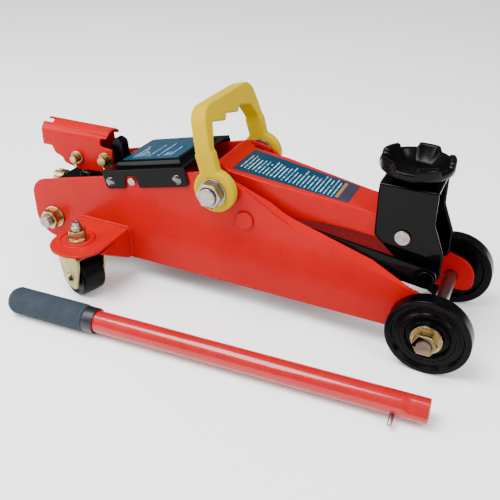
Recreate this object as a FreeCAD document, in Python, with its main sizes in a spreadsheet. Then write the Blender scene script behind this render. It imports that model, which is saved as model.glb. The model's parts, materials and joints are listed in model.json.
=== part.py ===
import FreeCAD, Part
import Sketcher

import math
import os
import sys
from types import SimpleNamespace

# Two-tonne hydraulic trolley jack with its loose handle beside it.
# Frame: +X runs forward to the saddle, +Y to the left side, +Z up. The origin lies on the floor,
# in the middle plane, straight under the pivot of the lifting arm.
# The jack stands with its saddle raised about 30 mm above the lowest position.

# Driving dimensions, in millimetres and degrees: cell alias, value.
CELLS = {
    # pressed side plates
    "plate_outer": 42.0,
    "plate_sheet": 3.0,
    "plate_rear": -218.0,
    "plate_front": 217.0,
    "plate_bottom": 22.5,
    "rear_corner_z": 83.6,
    "peak_x": -8.0,
    "peak_z": 134.0,
    "shoulder_x": 9.0,
    "shoulder_z": 130.8,
    "valley_x": 61.5,
    "valley_z": 99.0,
    "nose_z": 51.5,
    "nose_radius": 20.0,
    "rim_band": 3.0,
    "rim_width": 8.1,
    "rim_tilt": 30.0,
    "rim_end_x": 172.0,
    "bolt_gap": 0.25,
    "running_gap": 0.06,
    # pivots of the lifting linkage
    "pivot_z": 121.0,
    "arm_length": 161.4,
    "arm_droop": 7.48,
    "link_dx": 24.6,
    "link_dz": -27.2,
    "shaft_radius": 8.0,
    "shaft_end": 66.0,
    # lifting arm
    "arm_rear_half": 29.3,
    "arm_front_half": 20.2,
    "arm_sheet": 3.0,
    "arm_top": 11.5,
    "arm_lip": 16.0,
    "crank_u": -17.2,
    "crank_w": -46.9,
    "crank_bar_radius": 7.0,
    "label_sheet": 0.3,
    "label_start": 2.0,
    "label_end": 109.0,
    # link bars
    "link_inner": 29.8,
    "link_sheet": 3.0,
    "link_half": 8.0,
    "link_bolt_radius": 5.0,
    "link_pin_radius": 4.0,
    # saddle bracket and saddle
    "bracket_half": 23.2,
    "bracket_sheet": 2.5,
    "bracket_top": 45.1,
    "bracket_depth": 24.1,
    "pin_radius": 5.0,
    "saddle_radius": 30.6,
    "saddle_rim_z": 160.2,
    "saddle_lug_z": 164.5,
    # front axle and wheels
    "axle_x": 196.4,
    "axle_radius": 6.0,
    "axle_end": 75.0,
    "wheel_radius": 35.3,
    "wheel_inner": 48.9,
    "wheel_outer": 62.6,
    # rear casters
    "wing_top": 56.1,
    "wing_sheet": 3.0,
    "kingpin_x": -132.0,
    "kingpin_y": 81.0,
    "kingpin_radius": 5.0,
    "race_radius": 12.5,
    "caster_radius": 20.0,
    "caster_tread": 24.5,
    "caster_trail": 2.0,
    "fork_half": 15.5,
    "fork_sheet": 2.4,
    "fork_top": 47.7,
    # power unit
    "ram_z": 76.5,
    "cradle_screw_x": -92.3,
    "cradle_screw_z": 107.5,
    "cradle_screw_radius": 3.0,
    "reservoir_radius": 26.0,
    "reservoir_rear": -136.0,
    "reservoir_front": -57.0,
    "ram_radius": 10.0,
    "ram_face": -30.45,
    "block_rear": -206.0,
    "block_half": 34.0,
    "block_bottom": 34.0,
    "block_top": 84.0,
    "plunger_x": -173.0,
    "plunger_radius": 7.0,
    "plunger_top": 100.0,
    "spring_wire": 0.9,
    "spring_radius": 9.2,
    "spring_pitch": 3.2,
    "valve_y": 12.0,
    "valve_z": 64.0,
    "tie_x": -193.0,
    "tie_z": 48.0,
    "tie_radius": 6.0,
    "tie_root": 20.0,
    "tie_end": 59.0,
    # handle socket
    "socket_pivot_x": -143.4,
    "socket_pivot_z": 108.4,
    "socket_pin_x": -178.8,
    "socket_pin_z": 104.8,
    "socket_axis_z": 124.5,
    "socket_outer": 12.7,
    "socket_bore": 10.4,
    "socket_rear": -222.0,
    "socket_front": -135.5,
    "socket_mouth": 15.0,
    "socket_relief": 0.2,
    # tilted cover over the power unit
    "cover_x": -125.4,
    "cover_z": 112.6,
    "cover_tilt": 13.0,
    "cover_length": 94.0,
    "cover_half": 44.1,
    "cover_sheet": 1.7,
    "cover_flange": 18.5,
    "plateau_rise": 4.2,
    # moulded carrying bail
    "bail_inner": 44.7,
    "bail_leg": 8.8,
    "bail_height": 72.5,
    "bail_step": 36.0,
    "bail_top_inner": 37.0,
    "bail_top_outer": 45.5,
    "bail_eye": 19.5,
    "bail_lean": 14.9,
    # loose handle on the floor
    "handle_radius": 9.9,
    "handle_left": -169.4,
    "handle_length": 383.5,
    "handle_y": -137.3,
    "handle_turn": 3.06,
    "grip_radius": 12.5,
    "grip_length": 82.0,
    "collar_length": 11.0,
}

LUGS = 5
FINGERS = 3
FIRST_LUG_ANGLE = 11.0
RIGHT_SWIVEL = -19.0
LEFT_SWIVEL = 20.0


class Size:
    """A length or angle that knows both its value and the sheet expression behind it."""

    def __init__(self, text, value):
        self.text = text
        self.value = value

    def joined(self, sign, other, value):
        return Size(f"({self.text} {sign} {size(other).text})", value)

    def __add__(self, other):
        return self.joined("+", other, self.value + size(other).value)

    def __sub__(self, other):
        return self.joined("-", other, self.value - size(other).value)

    def __mul__(self, other):
        return self.joined("*", other, self.value * size(other).value)

    def __truediv__(self, other):
        return self.joined("/", other, self.value / size(other).value)

    def __neg__(self):
        return Size(f"(0 - {self.text})", -self.value)

    def __radd__(self, other):
        return size(other) + self

    def __rsub__(self, other):
        return size(other) - self

    def __rmul__(self, other):
        return size(other) * self


def size(number):
    """The number as a Size, so that plain numbers and cells mix freely."""
    return number if isinstance(number, Size) else Size(f"({number:.6g})", float(number))


document = FreeCAD.newDocument("trolley_jack")
sheet = document.addObject("Spreadsheet::Sheet", "Dims")
for row, (alias, number) in enumerate(CELLS.items(), start=1):
    sheet.set(f"A{row}", alias)
    sheet.set(f"B{row}", str(number))
    sheet.setAlias(f"B{row}", alias)
d = SimpleNamespace(**{alias: Size(f"Dims.{alias}", number) for alias, number in CELLS.items()})
document.recompute()

SUB_PARTS = []
TURN_TO = {
    "X": FreeCAD.Rotation(FreeCAD.Vector(0, 1, 0), 90),
    "Y": FreeCAD.Rotation(FreeCAD.Vector(1, 0, 0), -90),
    "Z": FreeCAD.Rotation(),
}


# ---------------------------------------------------------------- helpers

def bind(item, **sizes):
    """Binds properties to sheet expressions; a double underscore stands for a dot."""
    for path, amount in sizes.items():
        item.setExpression(path.replace("__", "."), size(amount).text)
    return item


def place(item, x=0, y=0, z=0, about=None, angle=0):
    """Puts an object at x, y, z, turned by angle about the given axis."""
    if about is not None:
        item.Placement.Rotation = FreeCAD.Rotation(about, size(angle).value)
    return bind(item, Placement__Base__x=x, Placement__Base__y=y, Placement__Base__z=z)


def sub_part(item, label):
    """Names an object as one physical piece, to be exported."""
    item.Label = label
    SUB_PARTS.append(item)
    return item


def cylinder(radius, start, length, axis="Z"):
    """A cylinder that begins at start and runs along the axis."""
    item = document.addObject("Part::Cylinder", "round")
    bind(item, Radius=radius, Height=length)
    item.Placement.Rotation = TURN_TO[axis]
    return place(item, *start)


def box(low, high):
    """A block between two opposite corners."""
    item = document.addObject("Part::Box", "block")
    lengths = [size(top) - bottom for bottom, top in zip(low, high)]
    bind(item, Length=lengths[0], Width=lengths[1], Height=lengths[2])
    return place(item, *low)


def hexagon(across_flats, start, length, axis="Z"):
    """A hexagonal prism."""
    item = document.addObject("Part::Prism", "hexagon")
    item.Polygon = 6
    bind(item, Circumradius=size(across_flats) / (2 * math.cos(math.radians(30))), Height=length)
    item.Placement.Rotation = TURN_TO[axis]
    return place(item, *start)


def fused(*items):
    """Several objects joined into one."""
    item = document.addObject("Part::MultiFuse", "fusion")
    item.Shapes = list(items)
    return item


def cut(base, *tools):
    """The base without the space of the tools."""
    item = document.addObject("Part::Cut", "cut")
    item.Base = base
    item.Tool = fused(*tools) if len(tools) > 1 else tools[0]
    return item


def common(*items):
    """The space that all objects share."""
    item = document.addObject("Part::MultiCommon", "overlap")
    item.Shapes = list(items)
    return item


def group(*items):
    """Loose identical pieces kept together as separate solids."""
    item = document.addObject("Part::Compound", "group")
    item.Links = list(items)
    return item


def mirrored(source):
    """The same object on the other side of the middle plane."""
    item = document.addObject("Part::Mirroring", "mirror")
    item.Source = source
    item.Normal = FreeCAD.Vector(0, 1, 0)
    return item


def both_sides(item):
    """An object and its mirror image, kept as separate solids."""
    return group(item, mirrored(item))


def ring(outer, inner, start, length, axis="Z"):
    """A round washer or tube."""
    return cut(cylinder(outer, start, length, axis), cylinder(inner, start, length, axis))


def nut(across_flats, bore, start, length, axis="Y"):
    """A hexagonal nut whose corners are turned off on both faces."""
    turned = cylinder(size(across_flats) * 0.56, start, length, axis)
    blank = common(hexagon(across_flats, start, length, axis), turned)
    return cut(blank, cylinder(bore, start, length, axis))


class Piece:
    """A PartDesign body made of sketches, pads, pockets and revolutions."""

    def __init__(self, name):
        self.body = document.addObject("PartDesign::Body", name)
        self.count = 0

    def plane(self, role):
        return next(item for item in self.body.Origin.OriginFeatures if item.Role == role)

    def sketch(self, plane, offset=0):
        """An empty sketch on one of the origin planes, moved along that plane's normal."""
        self.count += 1
        drawing = self.body.newObject("Sketcher::SketchObject", f"{self.body.Name}_sketch{self.count}")
        drawing.AttachmentSupport = (self.plane(plane), [""])
        drawing.MapMode = "FlatFace"
        drawing.setExpression("AttachmentOffset.Base.z", size(offset).text)
        return drawing

    def pad(self, drawing, length, symmetric=False, direction=None, reverse=False):
        feature = self.body.newObject("PartDesign::Pad", f"{self.body.Name}_pad{self.count}")
        feature.Profile = drawing
        bind(feature, Length=length)
        feature.SideType = "Symmetric" if symmetric else "One side"
        feature.Reversed = reverse
        if direction is not None:
            feature.UseCustomVector = True
            feature.Direction = direction
            feature.AlongSketchNormal = False
        return feature

    def pocket(self, drawing):
        """Cuts the sketch right through the body, both ways."""
        feature = self.body.newObject("PartDesign::Pocket", f"{self.body.Name}_pocket{self.count}")
        feature.Profile = drawing
        feature.Type = "ThroughAll"
        feature.SideType = "Symmetric"
        return feature

    def revolve(self, drawing, axis):
        feature = self.body.newObject("PartDesign::Revolution", f"{self.body.Name}_turn{self.count}")
        feature.Profile = drawing
        feature.ReferenceAxis = (drawing, [axis])
        feature.Angle = 360.0
        return feature


def fix_point(drawing, index, vertex, x, y):
    """Holds one vertex of a sketch at x, y, both bound to the sheet."""
    for kind, amount in (("DistanceX", x), ("DistanceY", y)):
        drawing.addConstraint(Sketcher.Constraint(kind, index, vertex, size(amount).value))
        drawing.setExpression(f"Constraints[{drawing.ConstraintCount - 1}]", size(amount).text)


def outline(drawing, corners):
    """Draws a closed outline. A corner is (x, y), or (x, y, radius) where it is rounded.

    A rounded corner keeps its sharp point as a construction point on both of its sides, and its
    arc is tangent to them.
    """
    count = len(corners)
    points = [FreeCAD.Vector(size(c[0]).value, size(c[1]).value, 0) for c in corners]
    starts = list(points)
    ends = list(points)
    for i, corner in enumerate(corners):
        if len(corner) == 3:
            before = (points[i - 1] - points[i]).normalize()
            after = (points[(i + 1) % count] - points[i]).normalize()
            half = before.getAngle(after) / 2
            reach = size(corner[2]).value / math.tan(half)
            ends[i] = points[i] + before * reach
            starts[i] = points[i] + after * reach
    first = drawing.GeometryCount
    for i in range(count):
        drawing.addGeometry(Part.LineSegment(starts[i], ends[(i + 1) % count]), False)
    for i, corner in enumerate(corners):
        side_in = first + (i - 1) % count
        side_out = first + i
        if len(corner) == 2:
            drawing.addConstraint(Sketcher.Constraint("Coincident", side_in, 2, side_out, 1))
            fix_point(drawing, side_out, 1, corner[0], corner[1])
            continue
        radius = size(corner[2]).value
        towards = ((points[i - 1] - points[i]).normalize()
                   + (points[(i + 1) % count] - points[i]).normalize()).normalize()
        half = (points[i - 1] - points[i]).getAngle(points[(i + 1) % count] - points[i]) / 2
        middle = points[i] + towards * (radius / math.sin(half) - radius)
        arc = drawing.addGeometry(Part.Arc(ends[i], middle, starts[i]), False)
        centre = drawing.Geometry[arc].Center
        turn = (ends[i] - centre).cross(starts[i] - centre).z
        near_in, near_out = (1, 2) if turn > 0 else (2, 1)
        point = drawing.addGeometry(Part.Point(points[i]), True)
        fix_point(drawing, point, 1, corner[0], corner[1])
        drawing.addConstraint(Sketcher.Constraint("PointOnObject", point, 1, side_in))
        drawing.addConstraint(Sketcher.Constraint("PointOnObject", point, 1, side_out))
        drawing.addConstraint(Sketcher.Constraint("Tangent", side_in, 2, arc, near_in))
        drawing.addConstraint(Sketcher.Constraint("Tangent", side_out, 1, arc, near_out))
        drawing.addConstraint(Sketcher.Constraint("Radius", arc, radius))
        drawing.setExpression(f"Constraints[{drawing.ConstraintCount - 1}]", size(corner[2]).text)


def circle(drawing, x, y, radius):
    """Adds a round hole to a sketch, bound to the sheet."""
    centre = FreeCAD.Vector(size(x).value, size(y).value, 0)
    index = drawing.addGeometry(Part.Circle(centre, FreeCAD.Vector(0, 0, 1), size(radius).value), False)
    fix_point(drawing, index, 3, x, y)
    drawing.addConstraint(Sketcher.Constraint("Radius", index, size(radius).value))
    drawing.setExpression(f"Constraints[{drawing.ConstraintCount - 1}]", size(radius).text)


def turned(name, axis, profile):
    """A turned piece about local X, Y or Z; the profile's points are (along, radius)."""
    piece = Piece(name)
    plane = {"X": "XZ_Plane", "Y": "YZ_Plane", "Z": "XZ_Plane"}[axis]
    drawing = piece.sketch(plane)
    swapped = [(point[1], point[0], *point[2:]) for point in profile] if axis == "Z" else profile
    outline(drawing, swapped)
    piece.revolve(drawing, "V_Axis" if axis == "Z" else "H_Axis")
    return piece.body


def profile_plate(name, plane, corners, holes=(), thickness=1, offset=0, symmetric=False):
    """A flat plate with a closed outline and round holes."""
    piece = Piece(name)
    drawing = piece.sketch(plane, offset)
    outline(drawing, corners)
    for hole in holes:
        circle(drawing, *hole)
    piece.pad(drawing, thickness, symmetric)
    return piece


# ---------------------------------------------------------------- frame

def make_side_plates():
    """Pressed side plates: a flat web whose front top edge is bent inwards as a sloping rim."""
    web_corners = [
        (d.plate_rear, d.plate_bottom, 25),
        (d.plate_rear, d.rear_corner_z, 20),
        (d.peak_x, d.peak_z, 12),
        (d.shoulder_x, d.shoulder_z, 8),
        (d.valley_x, d.valley_z, 70),
        (d.plate_front, d.nose_z, d.nose_radius),
        (d.plate_front, d.plate_bottom, 10),
    ]
    holes = [
        (0, d.pivot_z, d.shaft_radius + d.bolt_gap),
        (d.link_dx, d.pivot_z + d.link_dz, d.link_bolt_radius + d.bolt_gap),
        (d.axle_x, d.wheel_radius, d.axle_radius + d.bolt_gap),
        (d.tie_x, d.tie_z, d.tie_radius + d.bolt_gap),
        (d.cradle_screw_x, d.cradle_screw_z, d.cradle_screw_radius + d.bolt_gap),
    ]
    web = profile_plate("side_web", "XZ_Plane", web_corners, holes, d.plate_sheet,
                        d.plate_outer - d.plate_sheet)
    slope = (d.nose_z - d.valley_z) / (d.plate_front - d.valley_x)
    end_z = d.valley_z + slope * (d.rim_end_x - d.valley_x)
    rim_sketch = web.sketch("XZ_Plane", d.plate_outer - d.plate_sheet * 0.5)
    outline(rim_sketch, [
        (d.shoulder_x + 4, d.shoulder_z - 2.4),
        (d.valley_x, d.valley_z, 70),
        (d.rim_end_x, end_z),
        (d.rim_end_x, end_z - d.rim_band),
        (d.valley_x - 1, d.valley_z - d.rim_band, 67),
        (d.shoulder_x + 4, d.shoulder_z - 2.4 - d.rim_band * 1.17),
    ])
    tilt = math.radians(CELLS["rim_tilt"])
    web.pad(rim_sketch, d.rim_width, direction=FreeCAD.Vector(0, math.cos(tilt), math.sin(tilt)))
    # The rim narrows to nothing at both ends.
    taper = web.sketch("XY_Plane")
    inner = -(d.plate_outer - d.plate_sheet)
    outline(taper, [(0, inner + 0.1), (14, inner + 0.1), (45, inner + 5.4), (45, -20), (0, -20)])
    outline(taper, [(d.rim_end_x + 8, inner + 0.1), (d.rim_end_x - 2, inner + 0.1),
                    (d.rim_end_x - 32, inner + 5.4), (d.rim_end_x - 32, -20), (d.rim_end_x + 8, -20)])
    web.pocket(taper)
    right = sub_part(web.body, "side_plate_right")
    sub_part(mirrored(right), "side_plate_left")


def make_caster_brackets():
    """Pressed wings welded to the plates: a rounded flat top, a folded gusset in front."""
    wing = profile_plate("caster_wing", "XY_Plane", [
        (-158.8, -d.plate_outer),
        (-152.5, -110.5, 25),
        (-99.5, -110.5, 25),
        (-101.0, -d.plate_outer),
    ], [(d.kingpin_x, -d.kingpin_y, d.kingpin_radius + d.bolt_gap)], d.wing_sheet,
        d.wing_top - d.wing_sheet)
    gusset = wing.sketch("YZ_Plane", -103.6)
    outline(gusset, [
        (-d.plate_outer, d.wing_top),
        (-d.plate_outer, d.plate_bottom + 1.5),
        (-d.plate_outer - 5, d.plate_bottom + 1.5, 4),
        (-88, d.wing_top - 6, 8),
        (-90, d.wing_top),
    ])
    wing.pad(gusset, d.wing_sheet)
    boss = ring(16, d.kingpin_radius + d.bolt_gap,
                (d.kingpin_x, -d.kingpin_y, d.wing_top - 0.5), 1.4)
    right = sub_part(fused(wing.body, boss), "caster_bracket_right")
    sub_part(mirrored(right), "caster_bracket_left")


def make_front_axle():
    """Through axle with shouldered spacers, washers and nuts."""
    at_axle = (d.axle_x, -d.axle_end, d.wheel_radius)
    sub_part(cylinder(d.axle_radius, at_axle, d.axle_end * 2, "Y"), "front_axle")
    hole = d.axle_radius + d.running_gap
    spacer = ring(10, hole, (d.axle_x, d.plate_outer, d.wheel_radius),
                  d.wheel_inner - d.plate_outer - 0.25, "Y")
    washer = ring(13, hole, (d.axle_x, d.wheel_outer + 0.25, d.wheel_radius), 1.6, "Y")
    hex_nut = nut(18, hole, (d.axle_x, d.wheel_outer + 1.85, d.wheel_radius), 8)
    sub_part(both_sides(spacer), "front_axle_spacers")
    sub_part(both_sides(washer), "front_axle_washers")
    sub_part(both_sides(hex_nut), "front_axle_nuts")


def make_rear_tie():
    """Studs that clamp both plates to the rear of the pump block."""
    stud = cylinder(d.tie_radius, (d.tie_x, d.tie_root, d.tie_z), d.tie_end - d.tie_root, "Y")
    sub_part(both_sides(stud), "rear_tie_studs")
    hole = d.tie_radius + d.bolt_gap
    washer = ring(11.5, hole, (d.tie_x, d.plate_outer, d.tie_z), 2, "Y")
    hex_nut = nut(18, hole, (d.tie_x, d.plate_outer + 2, d.tie_z), 9)
    sub_part(both_sides(washer), "rear_tie_washers")
    sub_part(both_sides(hex_nut), "rear_tie_nuts")


def make_pivot_shaft():
    """Shaft of the lifting arm; the carrying bail's eyes turn on its ends."""
    start = (0, -d.shaft_end, d.pivot_z)
    sub_part(cylinder(d.shaft_radius, start, d.shaft_end * 2, "Y"), "arm_pivot_shaft")
    hole = d.shaft_radius + d.bolt_gap
    bail_outer = d.bail_inner + d.bail_leg
    inner_washer = ring(14, hole, (0, d.plate_outer, d.pivot_z), d.bail_inner - d.plate_outer - 0.3, "Y")
    outer_washer = ring(12.8, hole, (0, bail_outer + 0.3, d.pivot_z), 1.8, "Y")
    hex_nut = nut(21, hole, (0, bail_outer + 2.1, d.pivot_z), 8)
    sub_part(group(inner_washer, mirrored(inner_washer), outer_washer, mirrored(outer_washer)),
             "arm_pivot_washers")
    sub_part(both_sides(hex_nut), "arm_pivot_nuts")


def make_link_bolts():
    """Short bolts through the plates, on which the rear ends of the link bars turn."""
    height = d.pivot_z + d.link_dz
    shank = cylinder(d.link_bolt_radius, (d.link_dx, d.link_inner - 0.2, height),
                     d.plate_outer - d.link_inner + 0.2, "Y")
    head = cylinder(8.5, (d.link_dx, d.plate_outer, height), 2.6, "Y")
    sub_part(both_sides(fused(shank, head)), "link_pivot_bolts")


# ---------------------------------------------------------------- lifting linkage

def arm_frame(body):
    """Puts a body drawn along the arm's own line at its place on the pivot."""
    return place(body, 0, 0, d.pivot_z, FreeCAD.Vector(0, 1, 0), d.arm_droop)


def make_lift_arm():
    """Folded channel: top plate and two tapering cheeks that reach down to the crank bar."""
    under = d.arm_top - d.arm_sheet
    side = [
        (-12, d.arm_lip),
        (-16, 6, 4),
        (-27, -38, 8),
        (d.crank_u - 11, d.crank_w - 10, 9),
        (d.crank_u + 11, d.crank_w - 10, 9),
        (24, -24, 10),
        (92, -12.5, 30),
        (d.arm_length + 9, -9.5, 8),
        (d.arm_length + 9, d.arm_top, 6),
        (1, d.arm_top),
        (-6, d.arm_lip),
    ]
    hollow = [
        (-40, under + 4.5),
        (-9, under + 4.5),
        (-1, under),
        (d.arm_length + 30, under),
        (d.arm_length + 30, -80),
        (-40, -80),
    ]
    holes = [
        (0, 0, d.shaft_radius + d.running_gap),
        (d.arm_length, 0, d.pin_radius + d.running_gap),
        (d.crank_u, d.crank_w, d.crank_bar_radius + 0.02),
    ]
    outer_side = profile_plate("arm_side", "XZ_Plane", side, holes, 80, symmetric=True).body
    inner_side = profile_plate("arm_hollow", "XZ_Plane", hollow, (), 80, symmetric=True).body
    front = d.arm_length + 20

    def plan(name, inset):
        rear_half = d.arm_rear_half - inset
        front_half = d.arm_front_half - inset
        return profile_plate(name, "XY_Plane", [
            (-60, -rear_half), (38, -rear_half, 60), (118, -front_half, 60), (front, -front_half),
            (front, front_half), (118, front_half, 60), (38, rear_half, 60), (-60, rear_half),
        ], (), 160, symmetric=True).body

    blank = common(outer_side, plan("arm_plan", 0))
    inside = common(inner_side, plan("arm_inside", d.arm_sheet))
    arm = sub_part(cut(blank, inside), "lift_arm")
    arm_frame(arm)
    sticker = profile_plate("arm_sticker", "XY_Plane", [
        (d.label_start, -24, 1.5), (d.label_end, -17.5, 1.5),
        (d.label_end, 17.5, 1.5), (d.label_start, 24, 1.5),
    ], (), d.label_sheet, d.arm_top).body
    sub_part(arm_frame(sticker), "arm_label")
    bar = cylinder(d.crank_bar_radius, (d.crank_u, -d.arm_rear_half, d.crank_w),
                   d.arm_rear_half * 2, "Y")
    sub_part(arm_frame(group(bar)), "crank_bar")


def make_links():
    """Two flat bars that keep the saddle level, and the riveted pin at their front ends."""
    droop = FreeCAD.Vector(0, 1, 0)
    bar = profile_plate("link_bar", "XZ_Plane", [
        (-d.link_half, -d.link_half, d.link_half - 0.3),
        (d.arm_length + d.link_half, -d.link_half, d.link_half - 0.3),
        (d.arm_length + d.link_half, d.link_half, d.link_half - 0.3),
        (-d.link_half, d.link_half, d.link_half - 0.3),
    ], [
        (0, 0, d.link_bolt_radius + d.running_gap),
        (d.arm_length, 0, d.link_pin_radius + 0.02),
    ], d.link_sheet, d.link_inner).body
    place(bar, d.link_dx, 0, d.pivot_z + d.link_dz, droop, d.arm_droop)
    right = sub_part(bar, "link_bar_right")
    sub_part(mirrored(right), "link_bar_left")
    outer = d.link_inner + d.link_sheet
    core = cylinder(d.link_pin_radius, (d.arm_length, -outer, 0), outer * 2, "Y")
    shoulder_start = d.bracket_half + 0.4
    shoulder = cylinder(7, (d.arm_length, shoulder_start, 0), d.link_inner - shoulder_start, "Y")
    head = cylinder(6.5, (d.arm_length, outer, 0), 2.2, "Y")
    pin = fused(core, shoulder, mirrored(shoulder), head, mirrored(head))
    place(pin, d.link_dx, 0, d.pivot_z + d.link_dz, droop, d.arm_droop)
    sub_part(pin, "link_pin")


def saddle_pin_place():
    """World position of the pin that carries the saddle bracket."""
    droop = math.radians(CELLS["arm_droop"])
    return (d.arm_length * round(math.cos(droop), 6),
            d.pivot_z - d.arm_length * round(math.sin(droop), 6))


def make_saddle_bracket():
    """Inverted U that hangs on the arm's front pin and is steered by the link pin."""
    pin_x, pin_z = saddle_pin_place()
    side = [
        (-d.bracket_depth, -3, 5),
        (-d.bracket_depth, d.bracket_top),
        (d.bracket_depth, d.bracket_top),
        (d.bracket_depth, 16, 12),
        (d.link_dx + 9.5, d.link_dz + 18, 12),
        (d.link_dx + 9.5, d.link_dz - 9.5, 9),
        (d.link_dx - 12, d.link_dz - 9.5, 8),
    ]
    holes = [
        (0, 0, d.pin_radius + d.running_gap),
        (d.link_dx, d.link_dz, d.link_pin_radius + 0.6),
    ]
    shell = profile_plate("bracket_side", "XZ_Plane", side, holes, d.bracket_half * 2,
                          symmetric=True)
    section = shell.sketch("YZ_Plane")
    inner = d.bracket_half - d.bracket_sheet
    roof = d.bracket_top - d.bracket_sheet
    outline(section, [(-inner, -90), (-inner, roof, 3), (inner, roof, 3), (inner, -90)])
    shell.pocket(section)
    post_hole = shell.sketch("XY_Plane")
    circle(post_hole, 0, 0, 8.06)
    shell.pocket(post_hole)
    bracket = sub_part(shell.body, "saddle_bracket")
    place(bracket, pin_x, 0, pin_z)
    pin = cylinder(d.pin_radius, (pin_x, -d.bracket_half, pin_z), d.bracket_half * 2, "Y")
    head = cylinder(6.6, (pin_x, d.bracket_half, pin_z), 2.4, "Y")
    sub_part(fused(pin, head, mirrored(head)), "bracket_pin")


def make_saddle():
    """Cast dished saddle with five lugs on its rim; its post turns in the bracket."""
    pin_x, pin_z = saddle_pin_place()
    seat = pin_z + d.bracket_top + 0.2
    rim = d.saddle_radius
    cup = turned("saddle_cup", "Z", [
        (seat - 8, 0),
        (seat - 8, 8),
        (seat, 8),
        (seat, 17),
        (seat + 3, 19, 2),
        (d.saddle_rim_z - 6, rim, 3),
        (d.saddle_rim_z, rim, 1.5),
        (d.saddle_rim_z, rim - 5, 1.2),
        (seat + 5.5, rim - 12.5, 3),
        (seat + 5.5, 0),
    ])
    teeth = ring(rim, rim - 6, (0, 0, d.saddle_rim_z - 3), d.saddle_lug_z - d.saddle_rim_z + 3)
    sectors = []
    for index in range(LUGS):
        sector = profile_plate(f"lug_sector{index}", "XY_Plane", [(0, 0), (60, -20.7), (60, 20.7)], (),
                               d.saddle_lug_z - d.saddle_rim_z + 3, d.saddle_rim_z - 3).body
        turn = FIRST_LUG_ANGLE + 360 / LUGS * index
        sector.Placement.Rotation = FreeCAD.Rotation(FreeCAD.Vector(0, 0, 1), turn)
        sectors.append(sector)
    saddle = fused(cup, common(teeth, fused(*sectors)))
    place(saddle, pin_x, 0, 0)
    sub_part(saddle, "saddle")


# ---------------------------------------------------------------- wheels and casters

def make_front_wheels():
    """Cast wheels with a recessed web and a raised ring on the outer face."""
    face = d.wheel_outer
    back = d.wheel_inner
    wheel = turned("wheel_right", "Y", [
        (-back, d.axle_radius + d.running_gap),
        (-back, 12),
        (-back - 3, 13),
        (-back - 3, 27),
        (-back, 28),
        (-back, d.wheel_radius, 1.5),
        (-face, d.wheel_radius, 1.5),
        (-face, 30.5),
        (-face + 3, 28.5),
        (-face + 3, 23.5),
        (-face + 1.2, 22),
        (-face + 1.2, 19.5),
        (-face + 3.6, 17.5),
        (-face + 3.6, 14),
        (-face, 12.5),
        (-face, d.axle_radius + d.running_gap),
    ])
    place(wheel, d.axle_x, 0, d.wheel_radius)
    right = sub_part(wheel, "front_wheel_right")
    sub_part(mirrored(right), "front_wheel_left")


def make_caster(side, swivel):
    """Stamped fork with its wheel and axle, swivelled by the given angle about the kingpin."""
    name = "right" if side < 0 else "left"
    upright = FreeCAD.Vector(0, 0, 1)
    centre = (d.kingpin_x, side * d.kingpin_y, 0)
    fork = profile_plate(f"fork_{name}", "XZ_Plane", [
        (-14, d.fork_top, 3),
        (-14, 38, 8),
        (d.caster_trail - 10, 9.5, 8),
        (d.caster_trail + 10, 9.5, 8),
        (20, 38, 8),
        (20, d.fork_top, 3),
    ], [(d.caster_trail, d.caster_radius, 4.06)], d.fork_half * 2, symmetric=True)
    gap = fork.sketch("YZ_Plane")
    inner = d.fork_half - d.fork_sheet
    ceiling = d.fork_top - d.fork_sheet
    outline(gap, [(-inner, -10), (-inner, ceiling, 2), (inner, ceiling, 2), (inner, -10)])
    fork.pocket(gap)
    bore = fork.sketch("XY_Plane")
    circle(bore, 0, 0, d.kingpin_radius + d.running_gap)
    fork.pocket(bore)
    sub_part(place(fork.body, *centre, upright, swivel), f"caster_fork_{name}")

    tread = d.caster_tread / 2
    wheel = group(place(turned(f"roller_{name}", "Y", [
        (-tread, 4.15),
        (-tread, 9),
        (-tread + 1.5, 10),
        (-tread + 1.5, 15),
        (-tread, 16),
        (-tread, d.caster_radius, 3),
        (tread, d.caster_radius, 3),
        (tread, 16),
        (tread - 1.5, 15),
        (tread - 1.5, 10),
        (tread, 9),
        (tread, 4.15),
    ]), d.caster_trail, 0, d.caster_radius))
    sub_part(place(wheel, *centre, upright, swivel), f"caster_wheel_{name}")

    reach = d.fork_half + 3
    rivet = group(place(turned(f"rivet_{name}", "Y", [
        (-reach, 0),
        (-reach, 3, 2.5),
        (-d.fork_half, 6),
        (-d.fork_half, 4),
        (d.fork_half, 4),
        (d.fork_half, 6),
        (reach, 3, 2.5),
        (reach, 0),
    ]), d.caster_trail, 0, d.caster_radius))
    sub_part(place(rivet, *centre, upright, swivel), f"caster_axle_{name}")


def make_kingpins():
    """Kingpins fixed to the wings by nuts, with a pressed bearing race above each fork."""
    x = d.kingpin_x
    y = d.kingpin_y
    pin = fused(
        cylinder(8, (x, y, 42.6), d.fork_top - d.fork_sheet - 42.8),
        cylinder(d.kingpin_radius, (x, y, 44), 27),
        cylinder(3.6, (x, y, 70), 4.2),
    )
    hollow = cylinder(1.2, (x, y, 71), 5)
    sub_part(both_sides(cut(pin, hollow)), "kingpins")
    hole = d.kingpin_radius + d.bolt_gap
    seat = d.wing_top + 0.9
    washer = ring(10, hole, (x, y, seat), 1.4)
    sub_part(both_sides(fused(washer, nut(15, hole, (x, y, seat + 1.4), 8, "Z"))), "kingpin_nuts")
    race_bottom = d.fork_top + 0.2
    race = ring(d.race_radius, hole, (x, y, race_bottom), d.wing_top - d.wing_sheet - race_bottom)
    sub_part(both_sides(race), "swivel_races")


# ---------------------------------------------------------------- power unit

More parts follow.
